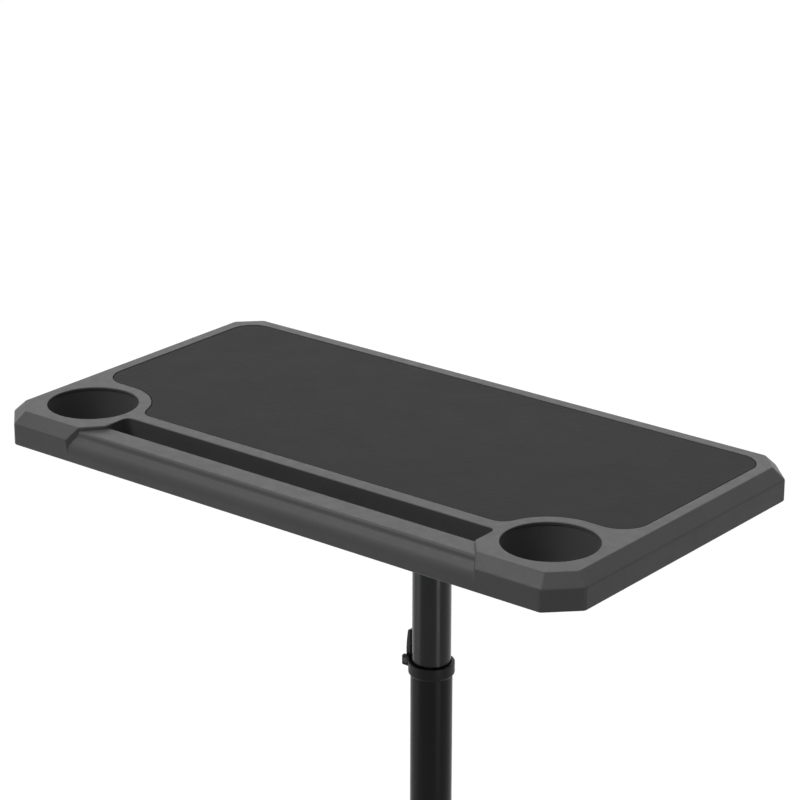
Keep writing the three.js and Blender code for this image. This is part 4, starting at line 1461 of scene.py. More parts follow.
    def well(self, side: Side) -> Piece:
        """The cup that hangs in a cup hole, with its flange, draft and rounded floor.

        Args:
            side: left or right.

        Returns:
            The well.
        """
        low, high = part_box(f"cup_well_{side.word}")
        flange = (high.x - low.x) / 2
        wall, soft = self.well_wall, self.well_soft
        inside = self.cup_radius + self.hole_gap
        profile = [
            (0, low.z), (inside - self.well_draft + wall, low.z, self.well_fillet),
            (inside + wall, high.z - self.well_flange),
            (flange, high.z - self.well_flange, soft), (flange, high.z, soft),
            (inside, high.z, soft),
            (inside - self.well_draft, low.z + self.well_floor, self.well_fillet - wall),
            (0, low.z + self.well_floor),
        ]
        centre = (low + high) / 2
        place = shift(centre.x, centre.y)
        return smoothed(turned(f"cup_liner_{side.word}", profile, FINE, place, bend=6))

    def pan(self, screw_places: Sequence[Vector]) -> Piece:
        """The pan that closes the tray from below, with holes for its screws and the wells.

        Args:
            screw_places: middle of each screw's seat.

        Returns:
            The pan.
        """
        low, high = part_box("underside_pan")
        inset = self.half_width - (high.x - low.x) / 2
        base, top, sheet = low.z, high.z, low.z + self.pan_thickness
        turn = quarter_round(self.pan_round, 4)
        rings = [self.plan(inset + more, base + rise) for more, rise in turn]
        inside = inset + self.pan_rim
        rings += [self.plan(inset, top), self.plan(inside, top), self.plan(inside, sheet)]
        x, y = self.place.translation.x, self.place.translation.y
        pan = loft("tray_pan", rings, place=shift(x, y))
        well = half_span("cup_well_left") - self.flange_reach + self.hole_gap
        holes = [drill("well_hole", well, base, sheet, at, FINE) for at in self.cup_places(x, y)]
        for spot in screw_places:
            holes.append(drill("screw_hole", self.pilot_radius, base, sheet, shift(spot.x, spot.y)))
        return smoothed(carved(pan, Carve.CUT, *holes))

    def build(self) -> None:
        """Makes the tray's pieces and hands them over."""
        names = [f"{kind}_screw_{i}" for kind in ("pan", "mount") for i in CORNER_NUMBERS]
        screw = self.screw
        seats = [Vector((*middle(name)[:2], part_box(name)[0].z + screw.height)) for name in names]
        handed(self.moulding(seats), "desk", Paint.TRAY, "tabletop_shell")
        handed(self.mat(), "desk", Paint.MAT, "desk_mat")
        for side in Side:
            handed(self.well(side), "desk", Paint.WELL, f"cup_well_{side.word}")
        handed(self.pan(seats), "desk", Paint.PLASTIC, "underside_pan")
        screw.set("tray_screws", "desk", seats, (0, 0, -1), self.screw_length, names)


# Head, column and clamp


def ring_of(radius: float, height: float, count: int) -> list[Vector]:
    """Places evenly spread round the column's axis."""
    turns = [2 * math.pi * k / count for k in range(count)]
    return [Vector((radius * math.cos(a), radius * math.sin(a), height)) for a in turns]


def welded(name: str, seats: Sequence[Vector], radius: float, seed: int) -> Piece:
    """Weld runs through the seats, with drops of about one radius."""
    unevenness = 0.3
    return PATTERNS.weld.run(
        name, seats, Paint.BASE, Drop_Radius=radius, Unevenness=unevenness, Seed=seed
    )


@dataclass
class MountHead:
    """Plate, socket and gussets that carry the tray, with the screw that holds the inner tube."""

    thickness: float = 3 * MM
    corner: float = 14 * MM
    edge: float = 0.6 * MM
    socket_wall: float = 3.8 * MM
    gap: float = 0.3 * MM
    gusset_reach: float = 17 * MM
    gusset_thickness: float = 3 * MM
    screw_hole: float = 2.5 * MM
    soft: float = 0.8 * MM
    weld: float = 1.5 * MM
    ring_drops: int = 64
    run_drops: int = 8
    lock_head: float = 3.2 * MM
    lock_shank: float = 3 * MM

    def __post_init__(self) -> None:
        """Reads the plate's and the tube's sizes from the frame."""
        self.low, self.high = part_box("mount_plate")
        self.bore = half_span("inner_tube") + self.gap
        self.underside = self.high.z - self.thickness
        self.outside = self.bore + self.socket_wall

    def plate(self) -> Piece:
        """The plate with its socket and four gussets, bored and drilled.

        Returns:
            The head.
        """
        outline = rectangle(self.low.x, self.high.x, self.low.y, self.high.y, self.corner, 10)
        body = soft_prism("mount_head", outline, self.underside, self.high.z, self.edge)
        soft, base = self.soft, self.low.z
        above, below = self.underside + soft, self.underside - self.gusset_reach
        socket = [(0, base), (self.outside, base, soft), (self.outside, above), (0, above)]
        sleeve = turned("socket_sleeve", socket)
        inside = self.bore + self.socket_wall / 2
        reach = self.outside + self.gusset_reach
        web_outline = rounded(
            [
                (inside, above), (inside, below), (self.outside + soft, below, soft / 2),
                (reach, self.underside - soft, soft / 2), (reach, above),
            ],
            3,
        )
        half = self.gusset_thickness / 2
        web = soft_prism("gusset", web_outline, -half, half, soft / 2, ALONG)
        webs = [copied(web, Matrix.Rotation(angle, 4, "Z")) for angle in DIAGONALS]
        bpy.data.objects.remove(web)
        carved(body, Carve.JOIN, sleeve, *webs)
        cutters = [rod("tube_bore", self.bore, base - OVERRUN, self.underside, steps=FINE)]
        for i in CORNER_NUMBERS:
            place = upright(f"mount_screw_{i}")
            cutters.append(
                drill("plate_hole", self.screw_hole, self.underside, self.high.z, place)
            )
        return smoothed(carved(body, Carve.CUT, *cutters))

    def welds(self) -> Piece:
        """Weld runs round the socket and down both sides of each gusset.

        Returns:
            The welds.
        """
        seats = ring_of(self.outside, self.underside, self.ring_drops)
        for angle in DIAGONALS:
            outward = Vector((math.cos(angle), math.sin(angle), 0))
            aside = Vector((-outward.y, outward.x, 0)) * self.gusset_thickness / 2
            for sign in (-1, 1):
                for k in range(1, self.run_drops + 1):
                    along = self.gusset_reach * k / (self.run_drops + 1)
                    foot = outward * (self.outside + along) + aside * sign
                    seats.append(foot + Vector((0, 0, self.underside)))
                    side = outward * self.outside + aside * sign
                    seats.append(side + Vector((0, 0, self.underside - along)))
        return welded("head_welds", seats, self.weld, seed=4)

    def build(self) -> None:
        """Makes the head's pieces and hands them over."""
        handed(self.plate(), "desk", Paint.BASE, "mount_plate")
        handed(self.welds(), "desk", Paint.BASE)
        low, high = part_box("socket_screw")
        seat = Vector((0, high.y - self.lock_head, (low.z + high.z) / 2))
        screw = Screw((high.z - low.z) / 2, self.lock_head, self.lock_shank)
        screw.set("tube_lock_screw", "desk", [seat], (0, 1, 0), seat.y - low.y, ["socket_screw"])


@dataclass
class Column:
    """Inner and outer tube of the telescoping column."""

    inner_wall: float = 1.5 * MM
    outer_wall: float = 1.1 * MM
    edge: float = 0.4 * MM
    window_half: float = 3.8 * MM
    window_drop: float = 3.3 * MM  # below the clamp's pin
    lock_radius: float = 3.3 * MM
    lock_reach: float = 30 * MM

    def tube(self, name: str, node: str, wall: float) -> Piece:
        """A tube with softened ends, in the place of a frame node.

        Args:
            name: the piece's name.
            node: the frame node that gives its size.
            wall: its wall.

        Returns:
            The tube.
        """
        low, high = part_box(node)
        radius = (high.x - low.x) / 2
        inner, soft = radius - wall, min(self.edge, wall / 2.5)
        ends = ((radius, low.z), (radius, high.z), (inner, high.z), (inner, low.z))
        return turned(name, [(*end, soft) for end in ends])

    def build(self) -> None:
        """Makes both tubes and hands them over."""
        inner = self.tube("inner_column", "inner_tube", self.inner_wall)
        height = shift(z=middle("socket_screw")[2])
        hole = rod("lock_hole", self.lock_radius, 0, self.lock_reach, height @ TO_Y)
        handed(smoothed(carved(inner, Carve.CUT, hole)), "desk", Paint.COLUMN, "inner_tube")
        outer = self.tube("outer_column", "outer_tube", self.outer_wall)
        low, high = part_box("outer_tube")
        sides = (-self.window_half, self.window_half)
        heights = (Clamp().pin_z - self.window_drop, high.z + OVERRUN)
        window = brick("clamp_window", (low.x - OVERRUN, 0), sides, heights)
        handed(smoothed(carved(outer, Carve.CUT, window)), "base", Paint.SLEEVE, "outer_tube")


@dataclass
class Clamp:
    """Collar with its two lugs, cam lever, pin and nut."""

    taper: float = 1.6 * MM
    lip: float = 3 * MM
    edge: float = 0.6 * MM
    lug_rise: float = 1.4 * MM  # above the band
    lug_thickness: float = 3.7 * MM
    lug_half_span: float = 9 * MM
    lug_height: float = 10.2 * MM
    gap: float = 0.3 * MM
    pin_radius: float = 1.9 * MM
    head_radius: float = 3 * MM
    head_height: float = 1.4 * MM
    cam_radius: float = 3.15 * MM
    cam_throw: float = 0.25 * MM
    shoulder: float = math.radians(125)  # where the outer side meets the round root
    lever_height: float = 30.1 * MM
    tip_width: float = 3.4 * MM
    belly: float = 2.7 * MM
    belly_share: float = 0.41
    lever_edge: float = 0.7 * MM
    lug_edge: float = 0.5 * MM
    soft: float = 0.3 * MM
    lug_round: float = 1.2 * MM
    nut_chamfer: float = 0.5 * MM
    nut_reach: float = 20 * MM
    tip_round: float = 0.9 * MM
    grip_rib: float = 0.35 * MM
    grip_inset: float = 0.8 * MM
    grip_rows: int = 6
    grip_start: float = 0.52  # of the lever's height
    grip_step: float = 0.07

    def __post_init__(self) -> None:
        """Reads the clamp's place from the frame."""
        self.low, self.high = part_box("clamp_collar")
        self.outer = half_span("outer_tube") + self.gap
        self.inner = half_span("inner_tube") + 2 * self.gap
        self.radius = self.high.x
        self.pin_x = middle("clamp_nut")[0]
        self.pin_z = self.high.z - self.lug_height / 2
        self.lever_half = self.lug_half_span - self.lug_thickness - self.gap

    def across(self, name: str, profile: Sequence[Corner], steps: int = ROUND) -> Piece:
        """A turned piece whose axis is the clamp's pin, pointing away from the rider."""
        return turned(name, profile, steps, shift(self.pin_x, 0, self.pin_z) @ TO_Y)

    def pin_bore(self, name: str, radius: float, start: float, end: float) -> Piece:
        """A round bar on the axis of the clamp's pin."""
        return self.across(name, [(0, start), (radius, start), (radius, end), (0, end)])

    def collar(self) -> Piece:
        """The split collar: band, taper and the two lugs that hold the pin.

        Returns:
            The collar.
        """
        top = self.high.z - self.lug_rise
        band = turned(
            "column_collar",
            [
                (0, self.low.z), (self.outer + self.edge, self.low.z),
                (self.radius, self.low.z + self.taper, self.edge),
                (self.radius, top, self.edge), (0, top),
            ],
        )
        foot = self.high.z - self.lug_height
        side = rectangle(self.low.x, -self.outer, foot, self.high.z, self.lug_round)
        inner_face = self.lug_half_span - self.lug_thickness
        lugs = [
            soft_prism("lug_front", side, -self.lug_half_span, -inner_face, self.lug_edge, ALONG),
            soft_prism("lug_rear", side, inner_face, self.lug_half_span, self.lug_edge, ALONG),
        ]
        bore = turned(
            "collar_bore",
            [
                (0, self.low.z - OVERRUN), (self.outer, self.low.z - OVERRUN),
                (self.outer, top - self.lip), (self.inner, top - self.lip),
                (self.inner, top, self.edge / 2), (self.inner + self.edge, top + self.edge),
                (self.inner + self.edge, top + OVERRUN), (0, top + OVERRUN),
            ],
        )
        pad_low, pad_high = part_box("pressure_pad")
        window = brick(
            "pad_window",
            (self.low.x, 0), (pad_low.y - self.gap, pad_high.y + self.gap),
            (pad_low.z - self.gap, pad_high.z + self.gap),
        )
        cam_face = self.pin_x + self.cam_throw + self.cam_radius + self.gap
        flat = brick(
            "cam_flat",
            (self.low.x - OVERRUN, cam_face), (-inner_face, inner_face),
            (self.low.z - OVERRUN, self.high.z + OVERRUN),
        )
        end = self.lug_half_span + OVERRUN
        hole = self.pin_bore("pin_hole", self.pin_radius + self.gap, -end, end)
        seat = self.head_height + self.gap - self.lug_half_span
        recess = self.pin_bore("head_recess", self.head_radius + self.gap, -end, seat)
        carved(band, Carve.JOIN, *lugs)
        return smoothed(carved(band, Carve.CUT, bore, window, flat, hole, recess))

    def lever_outline(self) -> list[Vector]:
        """The lever from its side: round cam root, bellied outer side, straight inner side.

        Returns:
            The outline's points.
        """
        inner = self.cam_throw + self.cam_radius
        top, soft = self.lever_height, self.tip_round
        centre = Vector((self.cam_throw, 0))
        corners = [
            (inner, 0), (inner, top, soft), (inner - self.tip_width, top - soft / 3, soft),
            (-self.belly, top / 2),
        ]
        tip = rounded(corners, 4, closed=False)[:-1]
        root = arc(centre, self.cam_radius, self.shoulder, 2 * math.pi, 30)
        start, end = tip[-1], root[0]
        control = Vector((-self.belly, top * self.belly_share))
        steps = 16
        shares = [k / steps for k in range(1, steps)]
        outer = [start * (1 - t) ** 2 + control * 2 * t * (1 - t) + end * t**2 for t in shares]
        return [*root[:-1], *tip, *outer]

    def lever(self) -> Piece:
        """The cam lever, bored for its pin, with grip ribs near its tip.

        Returns:
            The lever.
        """
        place = shift(self.pin_x, 0, self.pin_z) @ ALONG
        half, edge = self.lever_half, self.lever_edge
        body = soft_prism("cam_lever", self.lever_outline(), -half, half, edge, place, 4)
        end = self.lug_half_span
        hole = self.pin_bore("lever_hole", self.pin_radius + self.gap, -end, end)
        return smoothed(carved(body, Carve.CUT, hole))

    def grip(self) -> Piece:
        """Ribs across the lever's outer side, where a finger hooks it.

        Returns:
            The ribs.
        """
        outline = self.lever_outline()
        seats = []
        for k in range(self.grip_rows):
            height = self.lever_height * (self.grip_start + self.grip_step * k)
            x = min(point.x for point in outline if abs(point.y - height) < self.lever_height / 20)
            seats.append(Vector((self.pin_x + x + self.grip_rib / 2, 0, self.pin_z + height)))
        length = 2 * (self.lever_half - self.lever_edge - self.grip_inset)
        return PATTERNS.ribs.run(
            "lever_grip",
            seats,
            Paint.PLASTIC,
            Length=length,
            Radius=self.grip_rib,
            Direction=(0, 1, 0),
        )

    def pin(self) -> Piece:
        """The pin with its flat head, set into the front lug.

        Returns:
            The pin.
        """
        low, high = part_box("clamp_pin")
        head = self.head_height + low.y
        profile = [
            (0, low.y), (self.head_radius, low.y, self.soft), (self.head_radius, head),
            (self.pin_radius, head), (self.pin_radius, high.y, self.soft), (0, high.y),
        ]
        return smoothed(self.across("lever_pin", profile))

    def nut(self) -> Piece:
        """The hexagon nut, chamfered on both faces.

        Returns:
            The nut.
        """
        low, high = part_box("clamp_nut")
        reach = (high.x - low.x) / 2
        block = [(0, low.y), (reach, low.y), (reach, high.y), (0, high.y)]
        hexagon = self.across("lever_nut", block, 6)
        chamfer = self.nut_chamfer
        profile = [
            (0, low.y), (reach - chamfer, low.y), (reach, low.y + chamfer / 2),
            (reach, high.y - chamfer / 2), (reach - chamfer, high.y), (0, high.y),
        ]
        carved(hexagon, Carve.KEEP, self.across("nut_dome", profile))
        hole = self.pin_bore("nut_hole", self.pin_radius + self.gap / 2, 0, self.nut_reach)
        return smoothed(carved(hexagon, Carve.CUT, hole))

    def build(self) -> None:
        """Makes the clamp's pieces and hands them over."""
        handed(self.collar(), "base", Paint.CLAMP, "clamp_collar")
        handed(self.lever(), "cam_lever", Paint.PLASTIC, "clamp_lever")
        handed(self.grip(), "cam_lever", Paint.PLASTIC)
        handed(self.pin(), "base", Paint.STEEL, "clamp_pin")
        handed(self.nut(), "base", Paint.STEEL, "clamp_nut")


# Base


@dataclass
class WheeledBase:
    """H-base: two rails, the crossbar, end caps, the column's foot and their bolts."""

    wall: float = 1.8 * MM
    corner: float = 5 * MM
    gap: float = 0.3 * MM
    cap_dome: float = 1.6 * MM
    cap_thickness: float = 4.7 * MM
    cap_plug_wall: float = 2 * MM
    cap_groove: float = 0.35 * MM  # depth of the shadow line
    cap_groove_width: float = 0.5 * MM
    cap_groove_end: float = 0.7 * MM
    rail_soft: float = 0.3 * MM
    stem_hole: float = 5.2 * MM
    rail_bolt: Screw = Screw(7 * MM, 4 * MM, 4 * MM)
    beam_edge: float = 0.5 * MM
    foot_thickness: float = 5 * MM
    foot_corner: float = 7 * MM
    foot_bolt: Screw = Screw(5.5 * MM, 3.6 * MM, 3 * MM)
    foot_hole_depth: float = 15 * MM
    socket_wall: float = 3.6 * MM
    web_thickness: float = 3 * MM
    soft: float = 0.8 * MM
    weld: float = 1.7 * MM
    ring_drops: int = 68
    run_drops: int = 9

    def rail(self, side: Side) -> Piece:
        """A rail: rectangular tube, drilled for its bolts and castor stems.

        Args:
            side: left or right.

        Returns:
            The rail.
        """
        low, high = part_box(f"rail_{side.word}")
        outer = rectangle(low.x, high.x, low.z, high.z, self.corner, 8)
        wall, soft = self.wall, self.rail_soft
        sides = (low.x + wall, high.x - wall, low.z + wall, high.z - wall)
        inner = rectangle(*sides, self.corner - wall, 8)
        rings = [
            raised(drawn_in(outer, soft), low.y),
            raised(outer, low.y + soft),
            raised(outer, high.y - soft),
            raised(drawn_in(outer, soft), high.y),
            raised(inner, high.y),
            raised(inner, low.y),
        ]
        tube = loft(f"base_rail_{side.word}", rings, closed=True, place=ALONG)
        x, _, z = middle(f"rail_{side.word}")
        radius, reach = self.rail_bolt.shank + self.gap, high.x - low.x
        cutters = []
        for place in Place:
            tag = f"{side.word}_{place.word}"
            across = shift(x, middle(f"rail_bolt_{tag}")[1], z) @ TO_X
            cutters.append(rod("bolt_hole", radius, -reach, reach, across))
            spot = shift(x, middle(f"caster_stem_{tag}")[1])
            cutters.append(drill("stem_hole", self.stem_hole, low.z, low.z + wall, spot))
        return smoothed(carved(tube, Carve.CUT, *cutters))

    def cap(self, side: Side, place: Place) -> Piece:
        """A moulded end cap: domed cover with a shadow line, and its hollow plug.

        Args:
            side: left or right.
            place: front or rear.

        Returns:
            The cap.
        """
        low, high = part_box(f"end_cap_{side.word}_{place.word}")
        outline = rectangle(low.x, high.x, low.z, high.z, self.corner, 8)
        groove = drawn_in(outline, self.cap_groove)
        plug_end, outer_y = (low.y, high.y) if place is Place.REAR else (high.y, low.y)
        out = place.value
        seat_y = outer_y - out * self.cap_thickness
        rings = [
            raised(groove, seat_y),
            raised(groove, seat_y + out * self.cap_groove_width),
            raised(outline, seat_y + out * self.cap_groove_end),
        ]
        for fall, inset in quarter_round(self.cap_dome, 6):
            rings.append(raised(drawn_in(outline, 2 * inset), outer_y - out * fall))
        cover = loft(f"rail_cap_{side.word}_{place.word}", rings, place=ALONG)
        reach = self.wall + self.gap
        plug = prism("cap_plug", drawn_in(outline, reach), plug_end, (seat_y + outer_y) / 2, ALONG)
        hollow = drawn_in(outline, reach + self.cap_plug_wall)
        ends = plug_end - out * OVERRUN, seat_y - out * self.cap_plug_wall
        carved(plug, Carve.CUT, prism("plug_core", hollow, *ends, ALONG))
        return smoothed(carved(cover, Carve.JOIN, plug))

    def crossbar(self) -> Piece:
        """The crossbar between the rails, drilled for the foot's bolts.

        Returns:
            The crossbar.
        """
        low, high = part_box("base_crossbar")
        outer = rectangle(low.y, high.y, low.z, high.z, self.corner, 8)
        bar = soft_prism("cross_beam", outer, low.x, high.x, self.beam_edge, ACROSS)
        radius = self.foot_bolt.shank + self.gap
        ends = high.z - self.foot_hole_depth, high.z + OVERRUN
        holes = [
            rod("foot_hole", radius, *ends, upright(f"foot_bolt_{i}")) for i in CORNER_NUMBERS
        ]
        return smoothed(carved(bar, Carve.CUT, *holes))

    def foot(self) -> Piece:
        """The column's foot: bolted plate, socket and two webs.

        Returns:
            The foot.
        """
        low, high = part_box("column_foot")
        bore, soft = half_span("outer_tube") + self.gap, self.soft
        outside = bore + self.socket_wall
        top = low.z + self.foot_thickness
        outline = rectangle(low.x, high.x, low.y, high.y, self.foot_corner, 8)
        plate = soft_prism("foot_plate", outline, low.z, top, soft)
        sunk = top - soft
        sleeve = turned(
            "foot_sleeve", [(0, sunk), (outside, sunk), (outside, high.z, soft), (0, high.z)]
        )
        inside = bore + self.socket_wall / 2
        reach = high.x - self.foot_corner
        head = high.z - self.foot_thickness
        corners = [
            (inside, sunk), (reach, sunk), (reach, top + soft, soft),
            (outside + soft, head, soft), (inside, head),
        ]
        half = self.web_thickness / 2
        web = soft_prism("foot_web", rounded(corners, 3), -half, half, soft / 2, ALONG)
        twin = copied(web, Matrix.Rotation(math.pi, 4, "Z"))
        carved(plate, Carve.JOIN, sleeve, web, twin)
        cutters = [rod("foot_bore", bore, top, high.z + OVERRUN, steps=FINE)]
        radius = self.foot_bolt.shank + self.gap
        for i in CORNER_NUMBERS:
            cutters.append(drill("plate_hole", radius, low.z, top, upright(f"foot_bolt_{i}")))
        self.weld_ring = (outside, top, reach, head)
        return smoothed(carved(plate, Carve.CUT, *cutters))

    def welds(self) -> Piece:
        """Weld runs round the foot's socket and along both sides of its webs.

        Returns:
            The welds.
        """
        outside, top, reach, head = self.weld_ring
        seats = ring_of(outside, top, self.ring_drops)
        runs = self.run_drops + 1
        for sign in (-1, 1):
            for face in (-1, 1):
                y = face * self.web_thickness / 2
                for k in range(1, runs):
                    seats.append(Vector((sign * (outside + (reach - outside) * k / runs), y, top)))
                    seats.append(Vector((sign * outside, y, top + (head - top) * k / runs)))
        return welded("foot_welds", seats, self.weld, seed=7)

    def bolts(self) -> None:
        """The foot's bolts and the bolts that hold the rails to the crossbar."""
        bolt = self.foot_bolt
        names = [f"foot_bolt_{i}" for i in CORNER_NUMBERS]
        low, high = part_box(names[-1])
        seats = [Vector((*middle(name)[:2], high.z - bolt.height)) for name in names]
        bolt.set("foot_bolts", "base", seats, (0, 0, 1), seats[0].z - low.z, names)
        bolt = self.rail_bolt
        for side in Side:
            names = [f"rail_bolt_{side.word}_{place.word}" for place in Place]
            low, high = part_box(names[-1])
            outer = high.x if side is Side.RIGHT else low.x
            x = outer - side.value * bolt.height
            seats = [Vector((x, *middle(name)[1:])) for name in names]
            length = high.x - low.x - bolt.height
            bolt.set(f"rail_bolts_{side.word}", "base", seats, (side.value, 0, 0), length, names)

    def build(self) -> None:
        """Makes the base's pieces and hands them over."""
        for side in Side:
            handed(self.rail(side), "base", Paint.BASE, f"rail_{side.word}")
            for place in Place:
                name = f"end_cap_{side.word}_{place.word}"
                handed(self.cap(side, place), "base", Paint.PLASTIC, name)
        handed(self.crossbar(), "base", Paint.BASE, "base_crossbar")
        handed(self.foot(), "base", Paint.BASE, "column_foot")
        handed(self.welds(), "base", Paint.BASE)
        self.bolts()


# Castors


@dataclass
class Castor:
    """One swivelling castor: stem, fork, wheel and axle, and on the front ones a brake pedal."""

    side: Side
    place: Place
    wheel_edge: float = 3 * MM
    rim: float = 5.5 * MM
    hub_radius: float = 7 * MM
    web_half: float = 6 * MM
    axle_radius: float = 3 * MM
    gap: float = 0.3 * MM
    crown: float = 4 * MM
    plate: float = 2.5 * MM
    eye: float = 7 * MM
    swivel: float = 5 * MM
    rivet: float = 7.5 * MM
    rivet_height: float = 3 * MM
    flange: float = 15 * MM
    flange_height: float = 3 * MM
    hexagon: float = 8.5 * MM
    thread: float = 4.9 * MM
    trunnion: float = 1.8 * MM
    disc: float = 16 * MM
    pivot_from_axis: float = 20 * MM
    pivot_drop: float = 3.5 * MM
    axle_head: float = 5 * MM
    axle_head_height: float = 1.8 * MM
    axle_head_flat: float = 4 * MM
    axle_head_edge: float = 0.5 * MM
    rivet_round: float = 1 * MM
    flange_round: float = 0.5 * MM
    thread_lead: float = 1 * MM
    fork_round: float = 1.5 * MM
    leg_edge: float = 0.5 * MM
    roof_edge: float = 0.8 * MM
    groove_depth: float = 0.5 * MM
    tread_crown: float = 0.35 * MM
    tyre_inset: float = 1 * MM  # from the hub's ends
    bead: float = 0.6 * MM
    rim_inset: float = 1.6 * MM
    draft: float = 0.3 * MM
    dish_round: float = 1 * MM
    hub_ribs: int = 8
    hub_rib_thickness: float = 1.4 * MM
    hub_rib_inset: float = 2.6 * MM
    hub_rib_overlap: float = 0.5 * MM
    tread_ribs: int = 5
    tread_rib_radius: float = 0.55 * MM
    tread_rib_inset: float = 1 * MM

    def __post_init__(self) -> None:
        """Reads the castor's place from the frame."""
        self.tag = f"{self.side.word}_{self.place.word}"
        stem, wheel = f"caster_stem_{self.tag}", f"caster_wheel_{self.tag}"
        self.axis = middle(stem)[:2]
        self.stem_foot, self.stem_top = (corner.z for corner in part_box(stem))
        wheel_low, wheel_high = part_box(wheel)
        self.hub = (wheel_low + wheel_high) / 2
        self.radius = (wheel_high.z - wheel_low.z) / 2
        self.half_width = half_span(wheel)
        self.fork_low, self.fork_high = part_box(f"caster_fork_{self.tag}")

    def on_axle(
        self, name: str, profile: Sequence[Corner], steps: int = FINE, bend: int = 4
    ) -> Piece:
        """A piece turned about the castor's axle."""
        return turned(name, profile, steps, shift(*self.hub) @ TO_X, bend)

    def stem(self) -> Piece:
        """Swivel rivet, flange, hexagon and threaded stem in one turned piece.

        Returns:
            The stem.
        """
        rivet_top = self.stem_foot + self.rivet_height
        flange_foot = self.fork_high.z + self.gap
        hex_foot = flange_foot + self.flange_height
        soft, lead = self.flange_round, self.thread_lead
        shank = [
            (0, self.stem_foot), (self.rivet, self.stem_foot, self.rivet_round),
            (self.rivet, rivet_top), (self.swivel, rivet_top), (self.swivel, flange_foot),
            (self.flange, flange_foot, soft), (self.flange, hex_foot, soft),
            (self.thread, hex_foot), (self.thread, self.stem_top - lead),
            (self.thread - lead, self.stem_top), (0, self.stem_top),
        ]
        place = shift(*self.axis)
        body = turned(f"castor_stem_{self.tag}", shank, ROUND, place)
        hex_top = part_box(f"rail_{self.side.word}")[0].z - self.gap
        nut = rod("stem_hexagon", self.hexagon, hex_foot - soft, hex_top, place, 6)
        return smoothed(carved(body, Carve.JOIN, nut))

    def fork(self) -> Piece:
        """The fork: crown over the wheel and two legs down to the axle's eyes.

        Returns:
            The fork.
        """
        x, y = self.axis
        low, high = self.fork_low, self.fork_high
        nose, tail = low.y - y, high.y - y
        trail, axle_z = self.hub.y - y, self.hub.z
        crown_foot = high.z - self.crown
        radius, roof_edge = self.disc, self.roof_edge
        eye = rounded(
            [
                (nose, high.z, self.fork_round),
                (nose, crown_foot - self.crown, radius / 2),
                (trail - self.eye, axle_z - self.eye, self.eye),
                (trail + self.eye, axle_z - self.eye, self.eye),
                (tail, crown_foot - self.crown, radius / 2),
                (tail, high.z, self.fork_round),
            ],
            8,
        )
        inside = (high.x - low.x) / 2 - self.plate
        place = shift(x, y)
        legs = [
            soft_prism("fork_leg", eye, at, at + self.plate, self.leg_edge, place @ ACROSS)
            for at in (-inside - self.plate, inside)
        ]
        width = inside + self.plate
        pivot = self.pivot_from_axis
        roof = rectangle(x - width, x + width, low.y, y + pivot / 2, self.fork_round)
        body = soft_prism(f"castor_fork_{self.tag}", roof, crown_foot, high.z, roof_edge)
        corners = [
            (0, crown_foot), (radius, crown_foot, roof_edge), (radius, high.z, roof_edge),
            (0, high.z),
        ]
        disc = turned("fork_disc", corners, FINE, place)
        carved(body, Carve.JOIN, disc, *legs)
        sideways = shift(x, y + pivot, high.z - self.pivot_drop) @ TO_X
        cutters = [
            drill("swivel_hole", self.swivel + self.gap, crown_foot, high.z, place),
            self.on_axle("axle_hole", self.through(self.axle_radius + self.gap), ROUND),
            turned("pivot_hole", self.through(self.trunnion + self.gap), ROUND, sideways),
        ]
        return smoothed(carved(body, Carve.CUT, *cutters))

    def through(self, radius: float) -> list[Corner]:
        """Profile of a hole right across the castor."""
        reach = 20 * MM
        return [(0, -reach), (radius, -reach), (radius, reach), (0, reach)]

    def tyre(self) -> Piece:
        """The tyre: crowned tread with two fine grooves, rounded shoulders, seated on the rim.

        Returns:
            The tyre.
        """
        half = self.half_width - self.tyre_inset
        inner = self.radius - self.rim / 2
        groove, depth = half / 3, self.groove_depth
        crown = self.tread_crown
        tread = [
            (inner, -half + self.bead), (self.radius - crown, -half, self.wheel_edge),
            (self.radius, -groove - depth), (self.radius - depth, -groove),
            (self.radius, -groove + depth), (self.radius, groove - depth),
            (self.radius - depth, groove), (self.radius, groove + depth),
            (self.radius - crown, half, self.wheel_edge), (inner, half - self.bead),
        ]
        return smoothed(self.on_axle(f"castor_tyre_{self.tag}", tread, 128, bend=5))

    def core(self) -> Piece:
        """The wheel's hard core: rim bands, dished web and hub.

        Returns:
            The core.
        """
        bore = self.axle_radius + self.gap
        rim_inside = self.radius - self.rim
        rim_outside = self.radius - self.rim / 2
        rim_half = self.half_width - self.rim_inset
        draft, dish = self.draft, self.dish_round
        half = [
            (bore, self.half_width, 0.3 * MM), (self.hub_radius, self.half_width, 0.5 * MM),
            (self.hub_radius + draft, self.web_half, dish),
            (rim_inside - draft, self.web_half, dish), (rim_inside, rim_half, 0.4 * MM),
            (rim_outside, rim_half, 0.3 * MM),
        ]
        far = [(r, -x, soft) for r, x, soft in half]
        return smoothed(self.on_axle(f"castor_core_{self.tag}", [*far, *reversed(half)]))

    def spokes(self) -> Piece:
        """Radial ribs on both faces of the web."""
        return PATTERNS.spokes.run(
            f"castor_ribs_{self.tag}",
            [self.hub],
            Paint.HUB,
            Count=self.hub_ribs,
            Inner_Radius=self.hub_radius - self.hub_rib_overlap,
            Outer_Radius=self.radius - self.rim + self.hub_rib_overlap,
            Thickness=self.hub_rib_thickness,
            Width=2 * (self.half_width - self.hub_rib_inset),
        )

